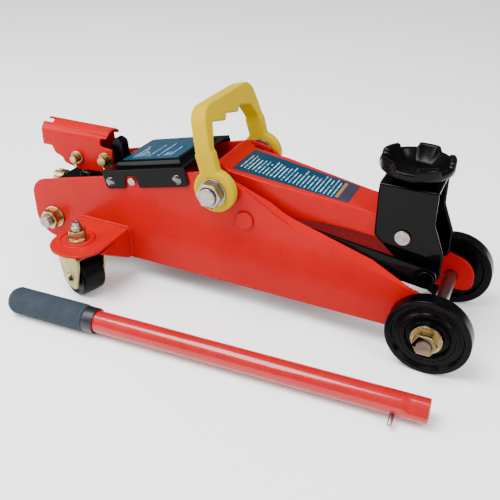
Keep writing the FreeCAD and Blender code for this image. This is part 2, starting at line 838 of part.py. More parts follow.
def make_pump_block():
    """Cast block at the rear: pump barrel, valve housing and the tall ear under the socket."""
    half = d.block_half
    base = box((d.block_rear, -half, d.block_bottom), (-146, half, 78))
    neck = cylinder(30, (-150, 0, d.ram_z), d.reservoir_rear + 150, "X")
    trimmed_neck = common(neck, box((-150, -34, 48), (d.reservoir_rear, 34, 90)))
    spigot = cylinder(d.reservoir_radius - 3.2, (d.reservoir_rear - 4, 0, d.ram_z), 4, "X")
    barrel = cylinder(13, (d.plunger_x, 0, 60), d.block_top - 60)
    lugs = box((d.tie_x - 13, -(d.plate_outer - d.plate_sheet), d.tie_z - 12),
               (d.tie_x + 13, d.plate_outer - d.plate_sheet, d.tie_z + 12))
    boss = profile_plate("ear_boss", "XZ_Plane", [
        (-157, 74),
        (-152, d.socket_pivot_z + 9, 8),
        (-136.5, d.socket_pivot_z + 9, 7),
        (-136.5, 74),
    ], (), 18.4, symmetric=True).body
    ear = profile_plate("ear_stop", "XZ_Plane", [
        (-145, 100),
        (-137.5, d.socket_pivot_z + 22.5, 4),
        (-127.5, d.socket_pivot_z + 19, 6),
        (-126.3, d.socket_pivot_z - 4, 3),
        (-136.5, d.socket_pivot_z - 5.4),
        (-138, 100),
    ], (), 11, symmetric=True).body
    solid = fused(base, trimmed_neck, spigot, barrel, lugs, boss, ear)
    holes = [
        cylinder(d.plunger_radius + d.running_gap, (d.plunger_x, 0, 38), 60),
        cylinder(6 + d.running_gap, (d.block_rear - 1, d.valve_y, d.valve_z), 23, "X"),
        both_sides(cylinder(d.tie_radius + d.bolt_gap, (d.tie_x, d.tie_root - 0.3, d.tie_z), 30, "Y")),
        cylinder(d.pin_radius + 0.02, (d.socket_pivot_x, -20, d.socket_pivot_z), 40, "Y"),
    ]
    sub_part(cut(solid, *holes), "pump_block")


def make_reservoir():
    """Oil reservoir tube around the ram cylinder, closed by the head nut."""
    length = d.reservoir_front - d.reservoir_rear
    tube = ring(d.reservoir_radius, d.reservoir_radius - 3, (d.reservoir_rear, 0, d.ram_z), length, "X")
    plug_hole = cylinder(5.05, (-71, 0, d.ram_z + 15), 20)
    sub_part(cut(tube, plug_hole), "reservoir_tube")
    barrel = ring(17, d.ram_radius + d.running_gap, (d.reservoir_rear, 0, d.ram_z), length, "X")
    sub_part(barrel, "ram_cylinder")
    flange = ring(d.reservoir_radius, d.ram_radius + d.running_gap,
                  (d.reservoir_front, 0, d.ram_z), 4, "X")
    collar = nut(38, d.ram_radius + d.running_gap, (d.reservoir_front + 4, 0, d.ram_z), 6, "X")
    sub_part(fused(flange, collar), "head_nut")
    stopper = fused(cylinder(5, (-71, 0, d.ram_z + 19), 9.5), cylinder(7.5, (-71, 0, d.ram_z + 26.4), 3))
    sub_part(stopper, "filler_plug")


def make_ram():
    """Ram rod and the flat pressure head that pushes the arm's crank bar."""
    face = d.ram_face
    head_back = face - 7
    sub_part(cylinder(d.ram_radius, (-126, 0, d.ram_z), head_back + 126, "X"), "ram_rod")
    sub_part(cylinder(14, (head_back, 0, d.ram_z), 7, "X"), "ram_head")


def make_plunger():
    """Vertical pump plunger with its spring collar."""
    top = d.plunger_top
    stem = cylinder(d.plunger_radius, (d.plunger_x, 0, 46), top - 46)
    head = cylinder(9.5, (d.plunger_x, 0, top - 5), 5)
    sub_part(fused(stem, head), "pump_plunger")


def make_spring():
    """Coil spring under the plunger's head, a wire swept along a helix."""
    wire = d.spring_wire
    radius = d.spring_radius
    helix = document.addObject("Part::Helix", "spring_path")
    bind(helix, Pitch=d.spring_pitch, Height=d.plunger_top - 5 - d.block_top - wire * 2, Radius=radius)
    section = document.addObject("Part::Circle", "spring_wire")
    section.Placement.Rotation = FreeCAD.Rotation(FreeCAD.Vector(1, 0, 0), 90)
    bind(section, Radius=wire)
    place(section, radius, 0, 0)
    coil = document.addObject("Part::Sweep", "spring")
    coil.Sections = [section]
    coil.Spine = (helix, ["Edge1"])
    coil.Solid = True
    coil.Frenet = True
    place(coil, d.plunger_x, 0, d.block_top + wire)
    sub_part(coil, "plunger_spring")


def make_release_valve():
    """Screw valve with a cross pin, turned by the end of the handle."""
    rear = d.block_rear
    stem = cylinder(6, (rear - 14, d.valve_y, d.valve_z), 34, "X")
    knob = cylinder(8, (rear - 26, d.valve_y, d.valve_z), 13, "X")
    slot = box((rear - 30, d.valve_y - 2, d.valve_z - 12), (rear - 19, d.valve_y + 2, d.valve_z + 12))
    sub_part(cut(fused(stem, knob), slot), "release_valve")


def make_cradle():
    """Block that holds the reservoir between the plates, and its two round-headed screws."""
    x = d.cradle_screw_x
    z = d.cradle_screw_z
    inside = d.plate_outer - d.plate_sheet
    shank = cylinder(d.cradle_screw_radius, (x, d.plate_outer - 6, z), 6, "Y")
    head = cylinder(3.9, (x, d.plate_outer, z), 2, "Y")
    sub_part(both_sides(fused(shank, head)), "cradle_screws")
    block = cut(
        box((x - 7.7, -inside, 96), (x + 8.3, inside, 111)),
        cylinder(d.reservoir_radius + 0.3, (x - 18, 0, d.ram_z), 40, "X"),
        cylinder(d.cradle_screw_radius + d.bolt_gap, (x, -50, z), 100, "Y"),
    )
    sub_part(block, "reservoir_cradle")


# ---------------------------------------------------------------- handle socket

def make_socket():
    """Formed sheet socket: a close-fitting round mouth that opens into two cheeks below."""
    outer = d.socket_outer
    bore = d.socket_bore
    axis_z = d.socket_axis_z
    length = d.socket_front - d.socket_rear
    tube = cylinder(outer, (d.socket_rear, 0, axis_z), length, "X")
    cheeks = box((d.socket_rear, -outer, 88), (d.socket_front, outer, axis_z))
    wide = bore + d.socket_relief
    mouth_end = d.socket_rear + d.socket_mouth
    hollow = fused(
        cylinder(bore, (d.socket_rear - 5, 0, axis_z), d.socket_mouth + 10, "X"),
        cylinder(wide, (mouth_end, 0, axis_z), length, "X"),
        box((mouth_end, -wide, 80), (d.socket_front + 5, wide, axis_z)),
    )
    side = profile_plate("socket_side", "XZ_Plane", [
        (d.socket_rear, axis_z - outer),
        (d.socket_rear, axis_z + outer),
        (-141, axis_z + outer),
        (-141, axis_z + 5, 3),
        (-149, axis_z + 5, 3),
        (-149, axis_z - 3.5, 3),
        (d.socket_front, axis_z - 4.5, 3),
        (d.socket_front, 103, 5),
        (-146, 94, 8),
        (-180, 91.5, 4),
        (-196.5, 95.5, 3),
        (-199, 101, 3),
        (-208, 104.5, 4),
        (-211, axis_z - outer, 2),
    ], [
        (d.socket_pivot_x, d.socket_pivot_z, d.pin_radius + d.running_gap),
        (d.socket_pin_x, d.socket_pin_z, 4.02),
    ], outer * 2, symmetric=True).body
    body = cut(common(fused(tube, cheeks), side), hollow,
               box((d.socket_rear - 1, -6.5, axis_z + 4), (d.socket_rear + 11, 1.5, axis_z + 20)))
    sub_part(body, "handle_socket")


def make_socket_pins():
    """Pivot pin in the block's ear and the pin that presses the plunger."""
    reach = 21.0
    pivot = cylinder(d.pin_radius, (d.socket_pivot_x, -reach, d.socket_pivot_z), 2 * reach, "Y")
    sub_part(pivot, "socket_pivot_pin")
    press = cylinder(4, (d.socket_pin_x, -reach, d.socket_pin_z), 2 * reach, "Y")
    sub_part(press, "plunger_pin")
    face = d.socket_outer + 0.3
    pivot_clip = ring(8, d.pin_radius, (d.socket_pivot_x, face, d.socket_pivot_z), 1.4, "Y")
    press_clip = ring(7, 4, (d.socket_pin_x, face, d.socket_pin_z), 1.4, "Y")
    sub_part(both_sides(pivot_clip), "socket_pivot_clips")
    sub_part(both_sides(press_clip), "plunger_pin_clips")


# ---------------------------------------------------------------- cover, bail, handle

def make_cover():
    """Sheet cover with side flanges outside the plates and a raised field for the label."""
    length = d.cover_length
    half = d.cover_half
    flange = d.cover_flange
    shell = profile_plate("cover_shell", "YZ_Plane", [
        (-half, -flange),
        (-half, 0, 1.2),
        (half, 0, 1.2),
        (half, -flange),
        (half - d.cover_sheet, -flange),
        (half - d.cover_sheet, -d.cover_sheet),
        (-half + d.cover_sheet, -d.cover_sheet),
        (-half + d.cover_sheet, -flange),
    ], (), length)
    tilt = math.radians(CELLS["cover_tilt"])
    notch = ((d.cradle_screw_x - d.cover_x) * math.cos(tilt)
             + (d.cradle_screw_z - d.cover_z) * math.sin(tilt))
    side = profile_plate("cover_side", "XZ_Plane", [
        (0, 1),
        (0, -flange, 3.5),
        (notch - 8, -flange, 1.5),
        (notch - 5.5, -flange + 12, 5),
        (notch + 5.5, -flange + 12, 5),
        (notch + 8, -flange, 1.5),
        (length, -flange, 3.5),
        (length, 1),
    ], (), 120, symmetric=True).body
    ledge = 8.5
    rise = d.plateau_rise
    field = document.addObject("Part::Wedge", "plateau")
    bind(field, Xmin=ledge, Ymin=-0.5, Zmin=-half + ledge, X2min=ledge + 4, Z2min=-half + ledge + 4,
         Xmax=length - ledge, Ymax=rise, Zmax=half - ledge, X2max=length - ledge - 4,
         Z2max=half - ledge - 4)
    field.Placement.Rotation = FreeCAD.Rotation(FreeCAD.Vector(1, 0, 0), 90)
    up_x = FreeCAD.Vector(0, 1, 0)
    cover = fused(common(shell.body, side), field)
    place(cover, d.cover_x, 0, d.cover_z, up_x, -d.cover_tilt)
    sub_part(cover, "cover_plate")
    inset = ledge + 7
    sticker = profile_plate("cover_sticker", "XY_Plane", [
        (inset, -half + inset, 1), (length - inset, -half + inset, 1),
        (length - inset, half - inset, 1), (inset, half - inset, 1),
    ], (), d.label_sheet, rise).body
    place(sticker, d.cover_x, 0, d.cover_z, up_x, -d.cover_tilt)
    sub_part(sticker, "cover_label")


def make_bail():
    """Moulded carrying bail: two legs with round eyes and a grip with finger steps."""
    inner = d.bail_inner
    outer = inner + d.bail_leg
    top = d.bail_height
    step = d.bail_step
    top_inner = d.bail_top_inner
    top_outer = d.bail_top_outer
    fingers = []
    pitch = top_inner * 2 / FINGERS
    for index in range(FINGERS):
        start = -top_inner + pitch * index
        fingers.append((start + 1, top - 15, 2))
        fingers.append((start + pitch - 2, top - 21.5, 2.5))
    legs = profile_plate("bail_hoop", "YZ_Plane", [
        (-outer, 0),
        (-outer, step, 20),
        (-top_outer, top, 17),
        (top_outer, top, 17),
        (outer, step, 20),
        (outer, 0),
        (inner, 0),
        (inner, step, 20),
        *reversed(fingers),
        (-inner, step, 20),
        (-inner, 0),
    ], (), 15, symmetric=True).body
    leg_side = profile_plate("bail_leg", "XZ_Plane", [
        (-9.5, 0), (-8.5, 16, 10), (-9, 36, 3), (9, 36, 3), (8.5, 16, 10), (9.5, 0),
    ], (), d.bail_leg, inner).body
    eye = cylinder(d.bail_eye, (0, -outer, 0), d.bail_leg, "Y")
    side = fused(leg_side, eye)
    hoop = common(legs, box((-20, -60, 8), (20, 60, 80)))
    bore = cylinder(d.shaft_radius + d.running_gap, (0, -80, 0), 160, "Y")
    bail = cut(fused(hoop, side, mirrored(side)), bore)
    place(bail, 0, 0, d.pivot_z, FreeCAD.Vector(0, 1, 0), -d.bail_lean)
    sub_part(bail, "carry_bail")


def make_loose_handle():
    """Handle lying on the floor: tube, knurled grip, collar and the bayonet pin."""
    upright = FreeCAD.Vector(0, 0, 1)
    start = (d.handle_left, d.handle_y, d.grip_radius)
    radius = d.handle_radius
    length = d.handle_length
    grip_end = d.grip_length
    tube = cut(
        cylinder(radius, (4, 0, 0), length - 4, "X"),
        cylinder(radius - 1.8, (3, 0, 0), length + 2, "X"),
        cylinder(2.02, (length - 26, -20, 0), 20, "Y"),
    )
    sub_part(place(group(tube), *start, upright, d.handle_turn), "handle_tube")
    grip = turned("grip", "X", [
        (0, 0), (0, d.grip_radius, 9), (grip_end, d.grip_radius), (grip_end, radius + 0.05),
        (3.5, radius + 0.05), (3.5, 0),
    ])
    sub_part(place(grip, *start, upright, d.handle_turn), "handle_grip")
    collar = ring(11.6, radius + 0.05, (grip_end + 0.1, 0, 0), d.collar_length, "X")
    sub_part(place(collar, *start, upright, d.handle_turn), "handle_collar")
    stud = cylinder(2, (length - 26, -radius - 7, 0), 12, "Y")
    sub_part(place(group(stud), *start, upright, d.handle_turn), "handle_pin")


def check_document():
    """Stops if any object failed or any sub-part has no valid shape."""
    for item in document.Objects:
        if "Invalid" in item.State or "Error" in item.State:
            sys.exit(f"object failed: {item.Name} {item.Label} {item.State}")
    for item in SUB_PARTS:
        if item.Shape.isNull() or not item.Shape.isValid():
            sys.exit(f"sub-part has no valid shape: {item.Label}")


def write_parts():
    """Writes one STEP file per sub-part and lists them."""
    os.makedirs("parts", exist_ok=True)
    for item in SUB_PARTS:
        item.Shape.exportStep(f"parts/{item.Label}.step")
        solids = len(item.Shape.Solids)
        print(f"{item.Label}: {solids} solid(s), {item.Shape.Volume / 1000:.2f} cm3")
    print(f"{len(SUB_PARTS)} sub-parts")


make_side_plates()
make_caster_brackets()
make_front_axle()
make_rear_tie()
make_pivot_shaft()
make_link_bolts()
make_lift_arm()
make_links()
make_saddle_bracket()
make_saddle()
make_front_wheels()
make_caster(-1, RIGHT_SWIVEL)
make_caster(1, LEFT_SWIVEL)
make_kingpins()
make_pump_block()
make_reservoir()
make_ram()
make_plunger()
make_spring()
make_release_valve()
make_cradle()
make_socket()
make_socket_pins()
make_cover()
make_bail()
make_loose_handle()
document.recompute()
check_document()
write_parts()
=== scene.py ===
"""Looks of a two-tonne hydraulic trolley jack with its loose handle lying beside it.

Every piece is in metres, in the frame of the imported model: +X runs forward to the saddle, +Y to
the jack's left side and +Z up, with the origin on the floor under the pivot of the lifting arm.
"""

from __future__ import annotations

import json
import logging
import math
from collections.abc import Iterable, Mapping
from dataclasses import dataclass, field
from enum import Enum
from typing import Any

import bmesh
import bpy
from mathutils import Matrix, Vector

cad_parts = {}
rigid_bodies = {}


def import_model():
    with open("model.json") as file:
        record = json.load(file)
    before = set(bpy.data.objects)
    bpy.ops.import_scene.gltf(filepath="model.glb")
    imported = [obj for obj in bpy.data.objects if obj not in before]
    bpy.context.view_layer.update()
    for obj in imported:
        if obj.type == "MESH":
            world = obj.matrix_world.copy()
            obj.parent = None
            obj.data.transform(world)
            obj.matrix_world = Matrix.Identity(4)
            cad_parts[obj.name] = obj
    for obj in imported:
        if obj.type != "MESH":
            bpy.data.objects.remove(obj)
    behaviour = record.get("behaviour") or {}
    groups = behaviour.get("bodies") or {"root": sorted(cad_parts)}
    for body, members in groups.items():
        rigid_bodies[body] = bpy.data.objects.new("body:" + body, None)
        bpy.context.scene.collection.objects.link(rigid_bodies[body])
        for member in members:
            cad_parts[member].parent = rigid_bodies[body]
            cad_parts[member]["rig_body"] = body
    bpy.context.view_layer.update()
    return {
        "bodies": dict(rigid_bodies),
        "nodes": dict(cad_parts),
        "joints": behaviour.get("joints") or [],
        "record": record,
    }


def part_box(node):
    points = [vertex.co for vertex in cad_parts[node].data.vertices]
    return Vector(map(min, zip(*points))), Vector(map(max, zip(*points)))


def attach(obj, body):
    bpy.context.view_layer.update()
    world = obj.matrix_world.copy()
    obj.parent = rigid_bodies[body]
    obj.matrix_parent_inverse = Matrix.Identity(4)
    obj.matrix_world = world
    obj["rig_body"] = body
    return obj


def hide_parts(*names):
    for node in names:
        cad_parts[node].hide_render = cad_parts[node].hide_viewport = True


LOG = logging.getLogger("trolley_jack")
MM = 0.001

Point = tuple[float, float, float]


# ---------------------------------------------------------------- small tools

def linear(hex_colour: str, alpha: float = 1.0) -> tuple[float, float, float, float]:
    """Turns an sRGB hex colour to linear light.

    Args:
        hex_colour: Six hex digits, with or without a leading hash.
        alpha: The fourth value of the result.

    Returns:
        Linear red, green and blue, and alpha.
    """
    digits = hex_colour.lstrip("#")
    channels = [int(digits[i:i + 2], 16) / 255 for i in (0, 2, 4)]
    light = [c / 12.92 if c <= 0.04045 else ((c + 0.055) / 1.055) ** 2.4 for c in channels]
    return light[0], light[1], light[2], alpha


def per_mm(size: float) -> float:
    """Texture scale whose features are about size millimetres across on Object coordinates."""
    return 1 / (size * MM)


def add_node(
    tree: bpy.types.NodeTree,
    kind: str,
    settings: Mapping[str, Any] | None = None,
    inputs: Mapping[str | int, Any] | None = None,
) -> bpy.types.Node:
    """Adds one node to a tree.

    Args:
        tree: A shader or geometry node tree.
        kind: The node's type identifier.
        settings: Values of the node's own properties.
        inputs: For each input, by name or index, a value or a socket to link from.

    Returns:
        The new node.
    """
    node = tree.nodes.new(kind)
    for name, value in (settings or {}).items():
        setattr(node, name, value)
    for key, value in (inputs or {}).items():
        socket = node.inputs[key]
        if isinstance(value, bpy.types.NodeSocket):
            tree.links.new(value, socket)
        else:
            socket.default_value = value
    return node


def smooth_step(value: float) -> float:
    """Eases a number from 0 to 1, clamped at both ends."""
    share = min(1.0, max(0.0, value))
    return share * share * (3 - 2 * share)


# ---------------------------------------------------------------- finishes

@dataclass(frozen=True)
class Finish:
    """A surface finish, turned to one material that all its pieces share.

    Attributes:
        name: The material's name: what it is and how its surface was made.
        colour: Main sRGB colour.
        shade: Second colour, in soft patches.
        roughness: Mean roughness.
        patch: Size of the colour patches, in millimetres.
        grain: Size of the surface grain, in millimetres.
        relief: Height of the grain, in millimetres.
        blend: How much of the second colour the patches reach.
    """

    name: str
    colour: str
    shade: str
    roughness: float
    patch: float = 30.0
    grain: float = 1.2
    relief: float = 0.01
    blend: float = 0.5

    def shader_values(self) -> dict[str, float]:
        """Constants that go straight on the shader's sockets."""
        return {}

    def colour_socket(self, tree: bpy.types.NodeTree, place: bpy.types.NodeSocket) -> bpy.types.NodeSocket:
        """Base colour: two close tones in soft patches.

        Args:
            tree: The material's tree.
            place: Socket of the Object coordinates.

        Returns:
            Socket of the colour.
        """
        patches = add_node(tree, "ShaderNodeTexNoise", inputs={
            "Vector": place, "Scale": per_mm(self.patch), "Detail": 3.0, "Roughness": 0.55})
        share = add_node(tree, "ShaderNodeMapRange", inputs={
            "Value": patches.outputs["Fac"], "From Min": 0.38, "From Max": 0.68, "To Max": self.blend})
        mix = add_node(tree, "ShaderNodeMix", {"data_type": "RGBA"}, {
            0: share.outputs[0], 6: linear(self.colour), 7: linear(self.shade)})
        return mix.outputs[2]

    def material(self) -> bpy.types.Material:
        """Builds the material once and hands out the same one afterwards.

        Returns:
            The material of this finish.
        """
        found = bpy.data.materials.get(self.name)
        if found is not None:
            return found
        material = bpy.data.materials.new(self.name)
        material.use_nodes = True
        tree = material.node_tree
        tree.nodes.clear()
        place = add_node(tree, "ShaderNodeTexCoord").outputs["Object"]
        wear = add_node(tree, "ShaderNodeTexNoise", inputs={
            "Vector": place, "Scale": per_mm(self.patch * 0.3), "Detail": 5.0, "Roughness": 0.65})
        rough = add_node(tree, "ShaderNodeMapRange", inputs={
            "Value": wear.outputs["Fac"], "From Min": 0.3, "From Max": 0.75,
            "To Min": self.roughness * 0.75, "To Max": self.roughness * 1.35})
        grain = add_node(tree, "ShaderNodeTexNoise", inputs={
            "Vector": place, "Scale": per_mm(self.grain), "Detail": 2.0, "Roughness": 0.5})
        bump = add_node(tree, "ShaderNodeBump", inputs={
            "Height": grain.outputs["Fac"], "Distance": self.relief * MM, "Strength": 1.0})
        shader = add_node(tree, "ShaderNodeBsdfPrincipled", inputs={
            "Base Color": self.colour_socket(tree, place),
            "Roughness": rough.outputs[0],
            "Normal": bump.outputs[0],
            **self.shader_values()})
        add_node(tree, "ShaderNodeOutputMaterial", inputs={"Surface": shader.outputs[0]})
        return material


@dataclass(frozen=True)
class Enamel(Finish):
    """Sprayed and stoved enamel: even colour under a clear skin with a faint orange peel."""

    gloss: float = 0.18
    coat: float = 0.12

    def shader_values(self) -> dict[str, float]:
        """Paint's own index, with a second, sharper skin over it."""
        return {"IOR": 1.5, "Specular IOR Level": self.gloss, "Coat Weight": self.coat,
                "Coat Roughness": 0.06, "Coat IOR": 1.5}


@dataclass(frozen=True)
class Metal(Finish):
    """Bare or plated metal: full metallic, its colour from the plating."""

    def shader_values(self) -> dict[str, float]:
        """Metal all through."""
        return {"Metallic": 1.0}


@dataclass(frozen=True)
class Moulding(Finish):
    """Moulded plastic or rubber."""

    gloss: float = 0.25

    def shader_values(self) -> dict[str, float]:
        """A plastic's own index."""
        return {"IOR": 1.49, "Specular IOR Level": self.gloss}


class PrintLayout(Enum):
    """How the unreadable marks lie on a printed label."""

    DENSE = "dense"
    SPARSE = "sparse"


@dataclass(frozen=True)
class PrintedVinyl(Finish):
    """Screen-printed vinyl: a flat ground with fine broken lines across it, which spell nothing.

    Attributes:
        centre: Middle of the label, in metres.
        tilt: Turn of the label about +Y, in degrees, that lays it level.
        layout: Whether the lines are dense and end in a panel, or sparse.
        row: Distance from row to row, in millimetres.
        ink: Colour of the marks.
        span: Half length and half width of the printed field, in millimetres.
    """

    centre: Point = (0.0, 0.0, 0.0)
    tilt: float = 0.0
    layout: PrintLayout = PrintLayout.DENSE
    row: float = 4.0
    ink: str = "#9CC4D4"
    span: tuple[float, float] = (46.0, 14.0)

    def shader_values(self) -> dict[str, float]:
        """Vinyl under a clear film."""
        return {"IOR": 1.5, "Specular IOR Level": 0.15, "Coat Weight": 0.1, "Coat Roughness": 0.1}

    def colour_socket(self, tree: bpy.types.NodeTree, place: bpy.types.NodeSocket) -> bpy.types.NodeSocket:
        """Ground, broken lines, and on a dense print an amber bar and a greyish end panel.

        Args:
            tree: The material's tree.
            place: Socket of the Object coordinates.

        Returns:
            Socket of the colour.
        """
        turn = math.radians(self.tilt)
        back = Matrix.Rotation(-turn, 3, "Y") @ Vector(self.centre)
        flat = add_node(tree, "ShaderNodeMapping", inputs={
            "Vector": place, "Location": tuple(-back), "Rotation": (0, -turn, 0)})
        parts = add_node(tree, "ShaderNodeSeparateXYZ", inputs={0: flat.outputs[0]})
        along, across = parts.outputs["X"], parts.outputs["Y"]
        pitch = self.row * MM
        row_at = add_node(tree, "ShaderNodeMath", {"operation": "DIVIDE"}, {0: along, 1: pitch})
        row_index = add_node(tree, "ShaderNodeMath", {"operation": "FLOOR"}, {0: row_at.outputs[0]})
        row_part = add_node(tree, "ShaderNodeMath", {"operation": "FRACT"}, {0: row_at.outputs[0]})
        row_line = add_node(tree, "ShaderNodeMath", {"operation": "COMPARE"}, {
            0: row_part.outputs[0], 1: 0.5, 2: 0.12})
        words_at = add_node(tree, "ShaderNodeCombineXYZ", inputs={0: across, 1: row_index.outputs[0], 2: 0.5})
        words = add_node(tree, "ShaderNodeVectorMath", {"operation": "MULTIPLY"}, {
            0: words_at.outputs[0], 1: (per_mm(1.0), 3.7, 1.0)})
        dashes = add_node(tree, "ShaderNodeTexNoise", inputs={
            "Vector": words.outputs[0], "Scale": 1.0, "Detail": 1.0, "Roughness": 0.5})
        inked = add_node(tree, "ShaderNodeMath", {"operation": "GREATER_THAN"}, {
            0: dashes.outputs["Fac"], 1: 0.45})
        length_at = add_node(tree, "ShaderNodeCombineXYZ", inputs={0: row_index.outputs[0], 1: 2.3, 2: 8.1})
        lengths = add_node(tree, "ShaderNodeTexWhiteNoise", {"noise_dimensions": "3D"}, {
            "Vector": length_at.outputs[0]})
        reach = add_node(tree, "ShaderNodeMapRange", inputs={
            "Value": lengths.outputs["Value"],
            "To Min": (0.35 if self.layout is PrintLayout.DENSE else -1.4) * self.span[1] * MM,
            "To Max": self.span[1] * MM})
        run_high = add_node(tree, "ShaderNodeMath", {"operation": "LESS_THAN"}, {
            0: across, 1: reach.outputs[0]})
        run_low = add_node(tree, "ShaderNodeMath", {"operation": "GREATER_THAN"}, {
            0: across, 1: -self.span[1] * MM})
        row_span = add_node(tree, "ShaderNodeMath", {"operation": "COMPARE"}, {
            0: along, 1: -0.1 * self.span[0] * MM, 2: 0.86 * self.span[0] * MM})
        mask = row_line.outputs[0]
        for gate in (inked, run_high, run_low, row_span):
            mask = add_node(tree, "ShaderNodeMath", {"operation": "MULTIPLY"}, {
                0: mask, 1: gate.outputs[0]}).outputs[0]
        ground = super().colour_socket(tree, place)
        printed = add_node(tree, "ShaderNodeMix", {"data_type": "RGBA"}, {
            0: mask, 6: ground, 7: linear(self.ink)}).outputs[2]
        if self.layout is PrintLayout.SPARSE:
            return printed
        # The end panel: a duller field past a thin amber bar.
        end = add_node(tree, "ShaderNodeMath", {"operation": "GREATER_THAN"}, {
            0: along, 1: 0.8 * self.span[0] * MM})
        dull = add_node(tree, "ShaderNodeMix", {"data_type": "RGBA"}, {
            0: end.outputs[0], 6: printed, 7: linear("#2A2A3A")})
        bar = add_node(tree, "ShaderNodeMath", {"operation": "COMPARE"}, {
            0: along, 1: 0.79 * self.span[0] * MM, 2: 1.4 * MM})
        inside = add_node(tree, "ShaderNodeMath", {"operation": "COMPARE"}, {
            0: across, 1: 0.0, 2: 0.9 * self.span[1] * MM})
        bar_mask = add_node(tree, "ShaderNodeMath", {"operation": "MULTIPLY"}, {
            0: bar.outputs[0], 1: inside.outputs[0]})
        amber = add_node(tree, "ShaderNodeMix", {"data_type": "RGBA"}, {
            0: bar_mask.outputs[0], 6: dull.outputs[2], 7: linear("#8A5A30")})
        return amber.outputs[2]


# Red stoving enamel on pressed steel: saturated, wet-looking, with a faint orange peel.
RED_ENAMEL = Enamel("red_stoving_enamel", "#A00005", "#8E0004", 0.3, patch=70, grain=1.6,
                    relief=0.012, blend=0.5, gloss=0.08, coat=0.06)
# The same enamel on tube, drawn smoother and a little brighter.
RED_TUBE_ENAMEL = Enamel("red_enamel_on_drawn_tube", "#9C0410", "#8C030C", 0.26, patch=40, grain=1.2,
                         relief=0.008, blend=0.5, gloss=0.25, coat=0.5)
# Black gloss enamel: deep, with narrow mirror-like lights on folds.
BLACK_ENAMEL = Enamel("black_gloss_enamel", "#020203", "#040406", 0.2, patch=35, grain=1.4,
                      relief=0.008, blend=0.6, gloss=0.04, coat=0.12)
# The same black where the press has burnished it, on the dimples: a sharper skin.
POLISHED_ENAMEL = Enamel("black_enamel_on_burnished_dimple", "#06070A", "#0A0C12", 0.14, patch=12,
                         grain=1.8, relief=0.02, blend=0.6, gloss=0.9, coat=0.9)
# Cast iron dipped in black paint: the sand-cast skin shows through as a soft pebble.
BLACK_CASTING = Enamel("black_dipped_cast_iron", "#030304", "#060608", 0.3, patch=14, grain=2.2,
                       relief=0.08, blend=0.6, gloss=0.08, coat=0.04)
# Yellow-passivated zinc on turned steel: straw with greenish and rosy clouds.
YELLOW_ZINC = Metal("yellow_passivated_zinc", "#B8A67A", "#8A7244", 0.3, patch=9, grain=0.6,
                    relief=0.012, blend=0.8)
# Olive zinc on the stamped forks, duller and greener.
OLIVE_ZINC = Metal("olive_passivated_zinc_stamping", "#A79F6C", "#857A4A", 0.42, patch=14, grain=0.8,
                   relief=0.02, blend=0.8)
# Clear zinc on bolt ends and rivets: pale grey, slightly rosy.
CLEAR_ZINC = Metal("clear_zinc_on_upset_steel", "#A39A94", "#7D716B", 0.34, patch=6, grain=0.5,
                   relief=0.015, blend=0.7)
# Ground and oiled steel of shafts and the cylinder.
GROUND_STEEL = Metal("ground_steel", "#9EA0A2", "#7D7F82", 0.3, patch=10, grain=0.5, relief=0.008)
# Hard chrome on the ram rod.
HARD_CHROME = Metal("hard_chrome_on_ground_rod", "#D4D6D8", "#BFC2C6", 0.1, patch=20, grain=2.0,
                    relief=0.002)
# Black nylon caster wheels: slightly waxy.
BLACK_NYLON = Moulding("black_moulded_nylon", "#040405", "#08080A", 0.34, patch=12, grain=0.8,
                       relief=0.02, gloss=0.08)
# Front wheels: cast, then painted in gloss black.
WHEEL_ENAMEL = Enamel("black_enamel_on_cast_wheel", "#030304", "#060609", 0.24, patch=18, grain=2.6,
                      relief=0.05, blend=0.6, gloss=0.06, coat=0.04)
# Yellow polypropylene bail: satin, with soft broad lights.
YELLOW_PLASTIC = Moulding("yellow_moulded_polypropylene", "#A88C00", "#9E8200", 0.4, patch=26,
                          grain=0.7, relief=0.015, gloss=0.04)
# Slate rubber grip, with a dusty bloom on its knurls.
SLATE_RUBBER = Moulding("slate_moulded_rubber", "#28323B", "#1E262D", 0.66, patch=9, grain=0.5,
                        relief=0.03, gloss=0.2)
# Smooth black collar of the grip.
BLACK_COLLAR = Moulding("black_moulded_pvc", "#101319", "#0A0C10", 0.36, patch=12, grain=0.8,
                        relief=0.01, gloss=0.5)
# Filler plug.
PLUG_RUBBER = Moulding("black_moulded_rubber", "#101012", "#18181A", 0.6, patch=6, grain=0.5,
                       relief=0.02)
# Spring wire, oil-blackened.
SPRING_STEEL = Metal("oil_blackened_spring_wire", "#5A5A5C", "#444446", 0.35, patch=5, grain=0.4,
                     relief=0.006)


# ---------------------------------------------------------------- the frame and its pieces

